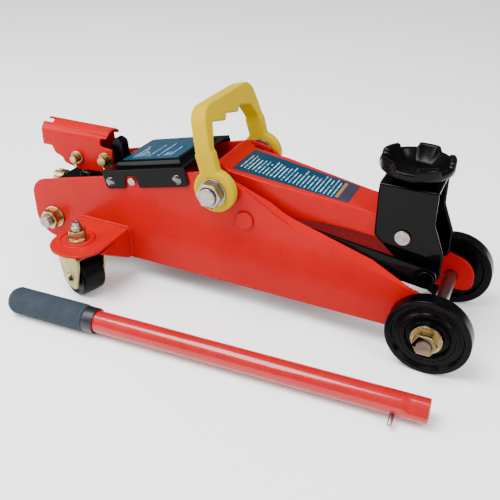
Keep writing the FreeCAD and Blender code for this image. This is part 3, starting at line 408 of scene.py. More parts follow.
@dataclass
class Jack:
    """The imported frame: its nodes, with each node's body and finish slot."""

    frame: dict[str, Any]
    slots: dict[str, str] = field(default_factory=dict)

    def __post_init__(self) -> None:
        """Reads each node's slot from the record."""
        for part in self.frame["record"]["subparts"]:
            self.slots[part["node"]] = part["material_slot"]

    def body(self, node: str) -> str:
        """Name of the body that a node rides on."""
        return self.frame["nodes"][node]["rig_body"]

    def dress(self, node: str, finish: Finish) -> None:
        """Gives a CAD node its material and leaves its shape alone."""
        shown = self.frame["nodes"][node]
        shown.data.materials.clear()
        shown.data.materials.append(finish.material())
        LOG.info("dressed %s in %s", node, finish.name)

    def add(self, piece: bpy.types.Object, body: str, slot: str, replaced: Iterable[str] = ()) -> None:
        """Makes a finished piece part of the jack.

        Args:
            piece: The piece, with its place in its mesh.
            body: The body it rides on.
            slot: The record's finish slot; not used.
            replaced: CAD nodes that it stands for.
        """
        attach(piece, body)
        names = list(replaced)
        if names:
            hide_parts(*names)
        LOG.info("%s: %d faces on %s", piece.name, len(piece.data.polygons), body)

    def soften(self, node: str, edge: float, finish: Finish, segments: int = 3) -> bpy.types.Object:
        """Copies a CAD node with its edges rounded, and puts the copy in its place.

        Args:
            node: The CAD node.
            edge: Width of the rounding, in millimetres.
            finish: The piece's finish.
            segments: Facets across the rounding.

        Returns:
            The new piece.
        """
        piece = new_object(f"{node}_formed", merged_copy(self.frame["nodes"][node]))
        rounded_edges(piece, edge, segments)
        plain = baked(piece, finish)
        self.add(plain, self.body(node), self.slots[node], [node])
        return plain

    def mould(self, node: str, cell: float, rounds: int, finish: Finish) -> bpy.types.Object:
        """Copies a CAD node as one soft-edged moulding, and puts the copy in its place.

        Args:
            node: The CAD node.
            cell: Size of the mesh's cells, in millimetres.
            rounds: Passes of smoothing, which set how round the edges are.
            finish: The piece's finish.

        Returns:
            The new piece.
        """
        piece = new_object(f"{node}_moulded", merged_copy(self.frame["nodes"][node]))
        cells = piece.modifiers.new("cells", "REMESH")
        cells.mode = "VOXEL"
        cells.voxel_size = cell * MM
        ease = piece.modifiers.new("ease", "SMOOTH")
        ease.factor = 0.6
        ease.iterations = rounds
        plain = baked(piece, finish)
        self.add(plain, self.body(node), self.slots[node], [node])
        return plain


def new_object(name: str, mesh: bpy.types.Mesh) -> bpy.types.Object:
    """Links a new object that holds a mesh."""
    mesh.name = name
    item = bpy.data.objects.new(name, mesh)
    bpy.context.scene.collection.objects.link(item)
    return item


def merged_copy(node: bpy.types.Object) -> bpy.types.Mesh:
    """Copies a CAD node's loose triangles as one closed mesh of flat faces.

    Args:
        node: The CAD node.

    Returns:
        A new mesh whose coplanar triangles are joined.
    """
    mesh = node.data.copy()
    stored = mesh.attributes.get("custom_normal")
    if stored is not None:
        mesh.attributes.remove(stored)
    shape = bmesh.new()
    shape.from_mesh(mesh)
    bmesh.ops.remove_doubles(shape, verts=shape.verts, dist=2e-6)
    bmesh.ops.dissolve_limit(
        shape, angle_limit=math.radians(0.35), verts=shape.verts, edges=shape.edges)
    for face in shape.faces:
        face.smooth = True
    shape.to_mesh(mesh)
    shape.free()
    return mesh


def rounded_edges(piece: bpy.types.Object, edge: float, segments: int = 3) -> None:
    """Rounds a piece's sharp edges, and keeps its flats flat in shading.

    Args:
        piece: The object, still with its modifiers live.
        edge: Width of the rounding, in millimetres.
        segments: Facets across the rounding.
    """
    bevel = piece.modifiers.new("edges", "BEVEL")
    bevel.width = edge * MM
    bevel.segments = segments
    bevel.limit_method = "ANGLE"
    bevel.angle_limit = math.radians(34)
    bevel.use_clamp_overlap = False
    weighted = piece.modifiers.new("shading", "WEIGHTED_NORMAL")
    weighted.mode = "FACE_AREA_WITH_ANGLE"
    weighted.weight = 60


def baked(item: bpy.types.Object, finish: Finish) -> bpy.types.Object:
    """Turns an object with modifiers to a plain mesh in one finish.

    Args:
        item: The object; it is kept, without its modifiers.
        finish: The finish of all its faces.

    Returns:
        The same object.
    """
    bpy.context.view_layer.update()
    graph = bpy.context.evaluated_depsgraph_get()
    plain = bpy.data.meshes.new_from_object(item.evaluated_get(graph), depsgraph=graph)
    plain.materials.clear()
    plain.materials.append(finish.material())
    for face in plain.polygons:
        face.material_index = 0
        face.use_smooth = True
    plain.name = item.name
    if item.type == "MESH":
        item.modifiers.clear()
        item.data = plain
        return item
    name = item.name
    bpy.data.objects.remove(item)
    return new_object(name, plain)


def skin(name: str, points: list[Point], faces: list[tuple[int, ...]], finish: Finish) -> bpy.types.Object:
    """Makes a piece from points in millimetres and faces, with its normals turned outwards.

    Args:
        name: The piece's name.
        points: Corners, in millimetres.
        faces: Corner indices of each face.
        finish: The piece's finish.

    Returns:
        The new object.
    """
    mesh = bpy.data.meshes.new(name)
    mesh.from_pydata([tuple(v * MM for v in p) for p in points], [], faces)
    shape = bmesh.new()
    shape.from_mesh(mesh)
    bmesh.ops.remove_doubles(shape, verts=shape.verts, dist=1e-7)
    bmesh.ops.recalc_face_normals(shape, faces=shape.faces)
    for face in shape.faces:
        face.smooth = True
    shape.to_mesh(mesh)
    shape.free()
    mesh.materials.append(finish.material())
    return new_object(name, mesh)


def lofted(rings: list[list[Point]], closed: bool = True) -> tuple[list[Point], list[tuple[int, ...]]]:
    """Joins rings of equal count to a tube.

    Args:
        rings: Rings of points.
        closed: Whether the last ring joins back to the first.

    Returns:
        Points and faces.
    """
    count = len(rings[0])
    points = [p for ring in rings for p in ring]
    faces = []
    spans = len(rings) if closed else len(rings) - 1
    for i in range(spans):
        for j in range(count):
            a, b = i * count, ((i + 1) % len(rings)) * count
            k = (j + 1) % count
            faces.append((a + j, a + k, b + k, b + j))
    return points, faces


def capped(rings: list[list[Point]]) -> tuple[list[Point], list[tuple[int, ...]]]:
    """Joins rings to a solid body whose first and last rings are closed by flat faces.

    Args:
        rings: Rings of points.

    Returns:
        Points and faces.
    """
    points, faces = lofted(rings, closed=False)
    count = len(rings[0])
    faces.append(tuple(range(count)))
    faces.append(tuple(len(points) - 1 - j for j in range(count)))
    return points, faces


def wire(name: str, points: list[Point], radius: float, finish: Finish) -> bpy.types.Object:
    """Bends a round wire with closed ends.

    Args:
        name: The piece's name.
        points: Points of its middle line, in millimetres.
        radius: Radius of the wire, in millimetres.
        finish: The piece's finish.

    Returns:
        The wire as a plain mesh.
    """
    curve = bpy.data.curves.new(name, "CURVE")
    curve.dimensions = "3D"
    curve.bevel_depth = radius * MM
    curve.bevel_resolution = 3
    curve.use_fill_caps = True
    spline = curve.splines.new("NURBS")
    spline.points.add(len(points) - 1)
    for slot, point in zip(spline.points, points):
        slot.co = (*(v * MM for v in point), 1)
    spline.order_u = 3
    spline.use_endpoint_u = True
    spline.resolution_u = 6
    item = bpy.data.objects.new(name, curve)
    bpy.context.scene.collection.objects.link(item)
    return baked(item, finish)


# ---------------------------------------------------------------- geometry node trees

class GeometryTree:
    """A geometry node tree with named inputs, ending in Realize Instances and Set Material."""

    def __init__(self, name: str, sizes: Mapping[str, float]) -> None:
        """Makes the tree's interface.

        Args:
            name: The tree's name.
            sizes: Input names with their values, in metres or counts.
        """
        self.tree = bpy.data.node_groups.new(name, "GeometryNodeTree")
        self.sizes = dict(sizes)
        face = self.tree.interface
        face.new_socket("Geometry", in_out="INPUT", socket_type="NodeSocketGeometry")
        for size_name, value in sizes.items():
            kind = "NodeSocketInt" if isinstance(value, int) else "NodeSocketFloat"
            face.new_socket(size_name, in_out="INPUT", socket_type=kind)
        face.new_socket("Material", in_out="INPUT", socket_type="NodeSocketMaterial")
        face.new_socket("Geometry", in_out="OUTPUT", socket_type="NodeSocketGeometry")
        self.entry = self.tree.nodes.new("NodeGroupInput")

    def node(self, kind: str, settings: Mapping[str, Any] | None = None,
             inputs: Mapping[str | int, Any] | None = None) -> bpy.types.Node:
        """Adds a node to this tree."""
        return add_node(self.tree, kind, settings, inputs)

    def value(self, name: str) -> bpy.types.NodeSocket:
        """The socket of a named input."""
        return self.entry.outputs[name]

    def close(self, shape: bpy.types.NodeSocket) -> None:
        """Ends the tree on a geometry socket."""
        real = self.node("GeometryNodeRealizeInstances", inputs={0: shape})
        dressed = self.node("GeometryNodeSetMaterial", inputs={
            "Geometry": real.outputs[0], "Material": self.value("Material")})
        self.node("NodeGroupOutput", inputs={0: dressed.outputs[0]})

    def run(self, name: str, base: bpy.types.Mesh, finish: Finish) -> bpy.types.Object:
        """Runs the tree on a base mesh.

        Args:
            name: The new piece's name.
            base: Points or edges that the tree works on.
            finish: The piece's finish.

        Returns:
            The piece, a plain mesh.
        """
        item = new_object(name, base)
        modifier = item.modifiers.new("build", "NODES")
        modifier.node_group = self.tree
        for socket in self.tree.interface.items_tree:
            if socket.in_out == "INPUT" and socket.name in self.sizes:
                modifier[socket.identifier] = self.sizes[socket.name]
            elif socket.in_out == "INPUT" and socket.name == "Material":
                modifier[socket.identifier] = finish.material()
        return baked(item, finish)


def point_mesh(name: str, points: list[Point], axes: list[Point] | None = None) -> bpy.types.Mesh:
    """Loose points, each with an axis to point along.

    Args:
        name: The mesh's name.
        points: The points, in millimetres.
        axes: A direction for each point.

    Returns:
        The new mesh.
    """
    mesh = bpy.data.meshes.new(name)
    mesh.from_pydata([tuple(v * MM for v in p) for p in points], [], [])
    if axes is not None:
        stored = mesh.attributes.new("axis", "FLOAT_VECTOR", "POINT")
        for slot, axis in zip(stored.data, axes):
            slot.vector = axis
    return mesh


def thread_tree(radius: float, length: float, pitch: float, depth: float) -> GeometryTree:
    """A rolled thread: one ridge wound round each point's axis.

    Args:
        radius: Radius of the ridge's middle, in millimetres.
        length: Threaded length, in millimetres.
        pitch: Distance from turn to turn, in millimetres.
        depth: Half height of the ridge, in millimetres.

    Returns:
        The tree.
    """
    made = GeometryTree("rolled_thread", {
        "Radius": radius * MM, "Length": length * MM, "Pitch": pitch * MM, "Depth": depth * MM})
    turns = made.node("ShaderNodeMath", {"operation": "DIVIDE"}, {
        0: made.value("Length"), 1: made.value("Pitch")})
    spiral = made.node("GeometryNodeCurveSpiral", inputs={
        "Resolution": 22, "Rotations": turns.outputs[0], "Start Radius": made.value("Radius"),
        "End Radius": made.value("Radius"), "Height": made.value("Length")})
    section = made.node("GeometryNodeCurvePrimitiveCircle", inputs={
        "Resolution": 5, "Radius": made.value("Depth")})
    ridge = made.node("GeometryNodeCurveToMesh", inputs={
        "Curve": spiral.outputs[0], "Profile Curve": section.outputs[0], "Fill Caps": True})
    axis = made.node("GeometryNodeInputNamedAttribute", {"data_type": "FLOAT_VECTOR"}, {"Name": "axis"})
    turn = made.node("FunctionNodeAlignRotationToVector", {"axis": "Z"}, {
        "Vector": axis.outputs[0]})
    placed = made.node("GeometryNodeInstanceOnPoints", inputs={
        "Points": made.value("Geometry"), "Instance": ridge.outputs[0], "Rotation": turn.outputs[0]})
    made.close(placed.outputs[0])
    return made


def bead_tree(width: float, pitch: float) -> GeometryTree:
    """A weld seam: overlapping beads laid along the base mesh's edges.

    Args:
        width: Half width of a bead, in millimetres.
        pitch: Distance from bead to bead, in millimetres.

    Returns:
        The tree.
    """
    made = GeometryTree("weld_bead", {"Width": width * MM, "Pitch": pitch * MM})
    path = made.node("GeometryNodeMeshToCurve", inputs={"Mesh": made.value("Geometry")})
    steps = made.node("GeometryNodeResampleCurve", {"mode": "LENGTH"}, {
        "Curve": path.outputs[0], "Length": made.value("Pitch")})
    bead = made.node("GeometryNodeMeshIcoSphere", inputs={
        "Radius": made.value("Width"), "Subdivisions": 3})
    tangent = made.node("GeometryNodeInputTangent")
    turn = made.node("FunctionNodeAlignRotationToVector", {"axis": "X"}, {"Vector": tangent.outputs[0]})
    placed = made.node("GeometryNodeInstanceOnPoints", inputs={
        "Points": steps.outputs[0], "Instance": bead.outputs[0], "Rotation": turn.outputs[0],
        "Scale": (1.1, 0.9, 0.9)})
    made.close(placed.outputs[0])
    return made


def knurl_tree(radius: float, length: float, rows: int, around: int, height: float) -> GeometryTree:
    """Diamond knurling: small four-sided pyramids in staggered rows round the X axis.

    Args:
        radius: Radius of the body, in millimetres.
        length: Knurled length, in millimetres.
        rows: Rows along the length.
        around: Pyramids in each row.
        height: Height of a pyramid, in millimetres.

    Returns:
        The tree.
    """
    made = GeometryTree("diamond_knurl", {
        "Radius": radius * MM, "Length": length * MM, "Rows": rows, "Around": around,
        "Height": height * MM, "Base": 1.42 * math.pi * radius * MM / around})
    index = made.node("GeometryNodeInputIndex")
    total = made.node("ShaderNodeMath", {"operation": "MULTIPLY"}, {
        0: made.value("Rows"), 1: made.value("Around")})
    points = made.node("GeometryNodePoints", inputs={"Count": total.outputs[0]})
    ratio = made.node("ShaderNodeMath", {"operation": "DIVIDE"}, {
        0: index.outputs[0], 1: made.value("Around")})
    row = made.node("ShaderNodeMath", {"operation": "FLOOR"}, {0: ratio.outputs[0]})
    part = made.node("ShaderNodeMath", {"operation": "FRACT"}, {0: ratio.outputs[0]})
    half_row = made.node("ShaderNodeMath", {"operation": "MULTIPLY"}, {0: row.outputs[0], 1: 0.5})
    odd = made.node("ShaderNodeMath", {"operation": "FRACT"}, {0: half_row.outputs[0]})
    stagger = made.node("ShaderNodeMath", {"operation": "DIVIDE"}, {
        0: odd.outputs[0], 1: made.value("Around")})
    share = made.node("ShaderNodeMath", {"operation": "ADD"}, {0: part.outputs[0], 1: stagger.outputs[0]})
    angle = made.node("ShaderNodeMath", {"operation": "MULTIPLY"}, {0: share.outputs[0], 1: math.tau})
    cosine = made.node("ShaderNodeMath", {"operation": "COSINE"}, {0: angle.outputs[0]})
    sine = made.node("ShaderNodeMath", {"operation": "SINE"}, {0: angle.outputs[0]})
    outward = made.node("ShaderNodeCombineXYZ", inputs={1: cosine.outputs[0], 2: sine.outputs[0]})
    radial = made.node("ShaderNodeVectorMath", {"operation": "SCALE"}, {
        0: outward.outputs[0], "Scale": made.value("Radius")})
    step = made.node("ShaderNodeMath", {"operation": "DIVIDE"}, {
        0: made.value("Length"), 1: made.value("Rows")})
    forward = made.node("ShaderNodeMath", {"operation": "MULTIPLY"}, {
        0: row.outputs[0], 1: step.outputs[0]})
    ahead = made.node("ShaderNodeCombineXYZ", inputs={0: forward.outputs[0]})
    spot = made.node("ShaderNodeVectorMath", {"operation": "ADD"}, {
        0: radial.outputs[0], 1: ahead.outputs[0]})
    laid = made.node("GeometryNodeSetPosition", inputs={
        "Geometry": points.outputs[0], "Position": spot.outputs[0]})
    pyramid = made.node("GeometryNodeMeshCone", {"fill_type": "NONE"}, {
        "Vertices": 4, "Radius Top": 0.0, "Radius Bottom": made.value("Base"),
        "Depth": made.value("Height")})
    upright = made.node("FunctionNodeAlignRotationToVector", {"axis": "Z"}, {
        "Vector": outward.outputs[0]})
    squared = made.node("FunctionNodeAlignRotationToVector", {"axis": "X", "pivot_axis": "Z"}, {
        "Rotation": upright.outputs[0], "Vector": (1.0, 0.0, 0.0)})
    placed = made.node("GeometryNodeInstanceOnPoints", inputs={
        "Points": laid.outputs[0], "Instance": pyramid.outputs[0], "Rotation": squared.outputs[0]})
    made.close(placed.outputs[0])
    return made


# ---------------------------------------------------------------- sub-assemblies

@dataclass
class Chassis:
    """Side plates with their wings, and the fixings that hold them together."""

    jack: Jack
    plate_edge: float = 0.8
    wing_edge: float = 1.1
    seam_width: float = 1.5
    seam_pitch: float = 1.1
    seam_y: float = 42.1
    tie_thread_root: Point = (-193.0, 53.3, 48.0)
    kingpin_thread_root: Point = (-132.0, 81.0, 66.6)
    thread_pitch: float = 1.5
    thread_depth: float = 0.42

    def build(self) -> None:
        """Builds the painted sheet, the weld seams and the fixings."""
        for side in ("right", "left"):
            self.jack.soften(f"side_plate_{side}", self.plate_edge, RED_ENAMEL)
            self.jack.soften(f"caster_bracket_{side}", self.wing_edge, RED_ENAMEL)
            self.seam(side)
        self.jack.soften("link_pivot_bolts", 1.1, RED_ENAMEL)
        self.jack.dress("front_axle", CLEAR_ZINC)
        self.jack.soften("front_axle_spacers", 0.5, YELLOW_ZINC)
        self.jack.soften("front_axle_washers", 0.3, YELLOW_ZINC)
        self.jack.soften("front_axle_nuts", 0.5, YELLOW_ZINC)
        self.jack.soften("rear_tie_studs", 0.7, CLEAR_ZINC)
        self.jack.soften("rear_tie_washers", 0.4, YELLOW_ZINC)
        self.jack.soften("rear_tie_nuts", 0.6, YELLOW_ZINC)
        self.jack.soften("arm_pivot_shaft", 0.9, CLEAR_ZINC)
        self.jack.soften("arm_pivot_washers", 0.4, CLEAR_ZINC)
        self.jack.soften("arm_pivot_nuts", 0.6, CLEAR_ZINC)
        self.jack.soften("kingpins", 0.5, CLEAR_ZINC)
        self.jack.soften("kingpin_nuts", 0.5, YELLOW_ZINC)
        self.jack.soften("swivel_races", 0.4, YELLOW_ZINC)
        tie_x, tie_y, tie_z = self.tie_thread_root
        self.threads("tie_stud_threads", 6.0, 5.0, [(tie_x, side * tie_y, tie_z) for side in (-1, 1)],
                     [(0.0, side, 0.0) for side in (-1, 1)])
        pin_x, pin_y, pin_z = self.kingpin_thread_root
        self.threads("kingpin_threads", 5.0, 4.0, [(pin_x, side * pin_y, pin_z) for side in (-1, 1)],
                     [(0.0, 0.0, 1.0)] * 2)

    def seam(self, side: str) -> None:
        """Lays the weld between one wing and its plate, under the paint.

        Args:
            side: "right" or "left".
        """
        sign = -1 if side == "right" else 1
        path = [(-157.5, 56.2), (-103.0, 56.2), (-100.4, 53.0), (-100.4, 26.0)]
        base = bpy.data.meshes.new("seam_path")
        base.from_pydata([(x * MM, sign * self.seam_y * MM, z * MM) for x, z in path], [], [])
        base.edges.add(len(path) - 1)
        for number, edge in enumerate(base.edges):
            edge.vertices = (number, number + 1)
        piece = bead_tree(self.seam_width, self.seam_pitch).run(f"wing_seam_{side}", base, RED_ENAMEL)
        self.jack.add(piece, "frame", "red_paint")

    def threads(self, name: str, radius: float, length: float, roots: list[Point],
                axes: list[Point]) -> None:
        """Winds the thread on the free end of each stud.

        Args:
            name: The piece's name.
            radius: Radius of the stud, in millimetres.
            length: Threaded length, in millimetres.
            roots: Where each thread starts, in millimetres.
            axes: Which way each stud points.
        """
        base = point_mesh(name, roots, axes)
        tree = thread_tree(radius - 0.1, length, self.thread_pitch, self.thread_depth)
        piece = tree.run(name, base, CLEAR_ZINC)
        self.jack.add(piece, "frame", "zinc")


@dataclass
class LiftingLinkage:
    """Folded lifting arm with its label, link bars, saddle bracket and saddle."""

    jack: Jack
    fold: float = 1.5
    dish_radius: float = 30.6
    lug_height: float = 4.3
    lug_half_angle: float = 19.0
    first_lug: float = 11.0
    droop: float = 7.48
    link_rear: tuple[float, float] = (24.6, 93.8)
    link_length: float = 161.4
    link_inner: float = 29.8
    link_sheet: float = 3.0
    link_half: float = 8.0
    link_drop: float = 3.2

    def build(self) -> None:
        """Builds the arm, the links and the head."""
        self.jack.soften("lift_arm", self.fold, RED_ENAMEL, 4)
        self.jack.soften("crank_bar", 0.8, GROUND_STEEL)
        self.jack.dress("arm_label", PrintedVinyl(
            "printed_vinyl_arm_label", "#092E42", "#082838", 0.34, patch=60, grain=3.0, relief=0.004,
            centre=tuple(self.label_centre()), tilt=self.droop, layout=PrintLayout.DENSE, row=3.6,
            span=(53.0, 16.5)))
        for side in ("right", "left"):
            self.link_bar(side)
        self.jack.soften("link_pin", 0.8, BLACK_ENAMEL)
        self.jack.soften("saddle_bracket", 2.0, BLACK_ENAMEL, 4)
        self.jack.soften("bracket_pin", 0.6, CLEAR_ZINC)
        self.saddle_dish()

    def link_bar(self, side: str) -> None:
        """Shears one link bar with round ends and a deeper lower edge, and breaks its corners.

        Args:
            side: "right" or "left".
        """
        droop = math.radians(self.droop)
        rear_x, rear_z = self.link_rear
        sign = -1 if side == "right" else 1
        inner, outer = sign * self.link_inner, sign * (self.link_inner + self.link_sheet)
        steps = 14
        flat: list[tuple[float, float]] = []
        for centre, first in ((0.0, 90.0), (self.link_length, -90.0)):
            for step in range(steps + 1):
                angle = math.radians(first + 180.0 * step / steps)
                reach = self.link_half + (self.link_drop if math.sin(angle) < -0.2 else 0.0)
                flat.append((centre + self.link_half * math.cos(angle), reach * math.sin(angle)))
        turned = [(rear_x + u * math.cos(droop) + w * math.sin(droop),
                   rear_z - u * math.sin(droop) + w * math.cos(droop)) for u, w in flat]
        rings = [[(x, y, z) for x, z in turned] for y in (inner, outer)]
        points, faces = capped(rings)
        piece = skin(f"link_bar_{side}_sheared", points, faces, BLACK_ENAMEL)
        rounded_edges(piece, 0.6)
        self.jack.add(baked(piece, BLACK_ENAMEL), "link_bars", "black_paint", [f"link_bar_{side}"])

    def saddle_dish(self) -> None:
        """Casts the dish: one turned section whose rim rises into five rounded lugs."""
        low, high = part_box("saddle")
        x, base, top = (low.x + high.x) / 2 / MM, low.z / MM, high.z / MM
        rim, floor, radius = top - self.lug_height, base + 13.5, self.dish_radius
        around = 180
        rings: list[list[Point]] = []
        sections: list[list[tuple[float, float]]] = []
        for index in range(around):
            angle = math.degrees(math.tau * index / around)
            away = min(abs((angle - self.first_lug - 72 * n + 180) % 360 - 180) for n in range(5))
            lip = rim + self.lug_height * smooth_step((self.lug_half_angle + 2.5 - away) / 5)
            sections.append([
                (base, 7.4), (base + 0.6, 8.0), (base + 8, 8.0), (base + 8, 16.2), (base + 8.5, 17.2),
                (base + 11, 19.2), (base + 15.5, radius - 2.2), (base + 16.8, radius - 0.6),
                (base + 18.4, radius), (lip - 1.6, radius), (lip - 0.5, radius - 0.4),
                (lip, radius - 1.4), (lip, radius - 4.0), (lip - 0.4, radius - 4.8),
                (lip - 1.6, radius - 5.2), (floor + 2.4, 19.4), (floor + 0.6, 17.6), (floor, 16.0)])
        for level in range(len(sections[0])):
            rings.append([(x + section[level][1] * math.cos(math.tau * j / around),
                           section[level][1] * math.sin(math.tau * j / around), section[level][0])
                          for j, section in enumerate(sections)])
        points, faces = capped(rings)
        piece = skin("saddle_cast", points, faces, BLACK_CASTING)
        self.jack.add(piece, "saddle", "black_casting", ["saddle"])

    @staticmethod
    def label_centre() -> Vector:
        """Middle of the arm's label."""
        low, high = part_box("arm_label")
        return (low + high) / 2


@dataclass
class Wheels:
    """Front wheels and rear casters."""

    jack: Jack

    def build(self) -> None:
        """Builds both pairs."""
        for side in ("right", "left"):
            self.jack.soften(f"front_wheel_{side}", 0.7, WHEEL_ENAMEL)
            self.jack.soften(f"caster_fork_{side}", 0.7, OLIVE_ZINC)
            self.jack.soften(f"caster_axle_{side}", 0.4, YELLOW_ZINC)
            self.jack.soften(f"caster_wheel_{side}", 0.6, BLACK_NYLON)


@dataclass
class PowerUnit:
    """Pump block, reservoir, ram, plunger and release valve."""

    jack: Jack

    def build(self) -> None:
        """Builds the hydraulic parts."""
        self.jack.soften("pump_block", 1.0, BLACK_CASTING)
        self.jack.soften("reservoir_tube", 0.6, BLACK_ENAMEL)
        self.jack.soften("reservoir_cradle", 0.6, BLACK_ENAMEL)
        self.jack.soften("cradle_screws", 0.5, CLEAR_ZINC)
        self.jack.dress("ram_cylinder", GROUND_STEEL)
        self.jack.soften("head_nut", 0.6, GROUND_STEEL)
        self.jack.soften("filler_plug", 0.8, PLUG_RUBBER)
        self.jack.soften("ram_rod", 0.5, HARD_CHROME)
        self.jack.soften("ram_head", 0.8, GROUND_STEEL)
        self.jack.soften("pump_plunger", 0.6, GROUND_STEEL)
        self.jack.dress("plunger_spring", SPRING_STEEL)
        self.jack.soften("release_valve", 0.6, YELLOW_ZINC)


@dataclass
class HandleSocket:
    """Formed socket with its pins, clips and split pins."""

    jack: Jack

    def build(self) -> None:
        """Builds the socket and its fixings."""
        self.jack.soften("handle_socket", 0.6, RED_ENAMEL)
        self.jack.soften("socket_pivot_pin", 0.6, YELLOW_ZINC)
        self.jack.soften("plunger_pin", 0.6, YELLOW_ZINC)
        self.jack.soften("socket_pivot_clips", 0.3, YELLOW_ZINC)
        self.jack.soften("plunger_pin_clips", 0.3, YELLOW_ZINC)
        for side, sign in (("right", -1), ("left", 1)):
            self.split_pin(f"pivot_split_pin_{side}", (-143.4, sign * 18.6, 108.4), sign, 5.0, "frame")
            self.split_pin(f"plunger_split_pin_{side}", (-178.8, sign * 18.6, 104.8), sign, 4.0,
                           "handle_socket")

    def split_pin(self, name: str, middle: Point, sign: int, radius: float, body: str) -> None:
        """Pushes a split pin through one end of a pin.

        Args:
            name: The piece's name.
            middle: Where its middle lies, in millimetres.
            sign: -1 on the right, 1 on the left.
            radius: Radius of the pin it goes through, in millimetres.
            body: The body it rides on.
        """
        x, y, z = middle
        out = sign * 1.0
        path = [
            (x - 0.5, y + out * 0.2, z - radius - 3.4),
            (x - 0.5, y, z - radius),
            (x - 0.5, y, z + radius),
            (x - 1.7, y, z + radius + 1.6),
            (x - 0.4, y, z + radius + 3.4),
            (x + 1.2, y, z + radius + 1.8),
            (x + 0.5, y, z + radius),
            (x + 0.5, y, z - radius),
            (x + 1.6, y + out * 1.4, z - radius - 1.6),
            (x + 3.6, y + out * 2.0, z - radius - 2.6),
        ]
        self.jack.add(wire(name, path, 0.7, YELLOW_ZINC), body, "zinc")


@dataclass
class Cover:
    """Tilted cover with its raised field, label and pressed dimples."""

    jack: Jack
    origin: Point = (-125.4, 0.0, 112.6)
    tilt: float = 13.0
    half_width: float = 44.1
    dimple_drop: float = 11.5

    def build(self) -> None:
        """Builds the cover."""
        self.jack.soften("cover_plate", 1.0, BLACK_ENAMEL)
        low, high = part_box("cover_label")
        self.jack.dress("cover_label", PrintedVinyl(
            "printed_vinyl_cover_label", "#0A3448", "#082C3E", 0.34, patch=60, grain=3.0, relief=0.004,
            centre=tuple((low + high) / 2), tilt=-self.tilt, layout=PrintLayout.SPARSE, row=3.4,
            span=(26.0, 22.0)))
        self.dimples()

    def dimples(self) -> None:
        """Pushes two round dimples out of each flange, as domes."""
        steps, around, radius, rise = 5, 28, 4.8, 1.6
        turn = math.radians(self.tilt)
        points: list[Point] = []
        faces: list[tuple[int, ...]] = []
        for along in (7.0, 83.0):
            for sign in (-1, 1):
                x0 = self.origin[0] + along * math.cos(turn) + self.dimple_drop * math.sin(turn)
                z0 = self.origin[2] + along * math.sin(turn) - self.dimple_drop * math.cos(turn)
                first = len(points)
                for i in range(steps + 1):
                    bend = i / (steps + 1) * math.pi / 2
                    for j in range(around):
                        spin = math.tau * j / around
                        points.append((
                            x0 + radius * math.cos(bend) * math.cos(spin),
                            sign * (self.half_width - 0.2 + rise * math.sin(bend)),
                            z0 + radius * math.cos(bend) * math.sin(spin)))
                for i in range(steps):
                    for j in range(around):
                        k = (j + 1) % around
                        a, b = first + i * around, first + (i + 1) * around
                        faces.append((a + j, a + k, b + k, b + j))
                faces.append(tuple(first + steps * around + j for j in range(around)))
                faces.append(tuple(first + around - 1 - j for j in range(around)))
        piece = skin("cover_dimples", points, faces, POLISHED_ENAMEL)
        self.jack.add(piece, "frame", "black_paint")


@dataclass
class Bail:
    """Moulded carrying bail."""

    jack: Jack
    cell: float = 0.8
    rounds: int = 9

    def build(self) -> None:
        """Builds the bail."""
        self.jack.mould("carry_bail", self.cell, self.rounds, YELLOW_PLASTIC)


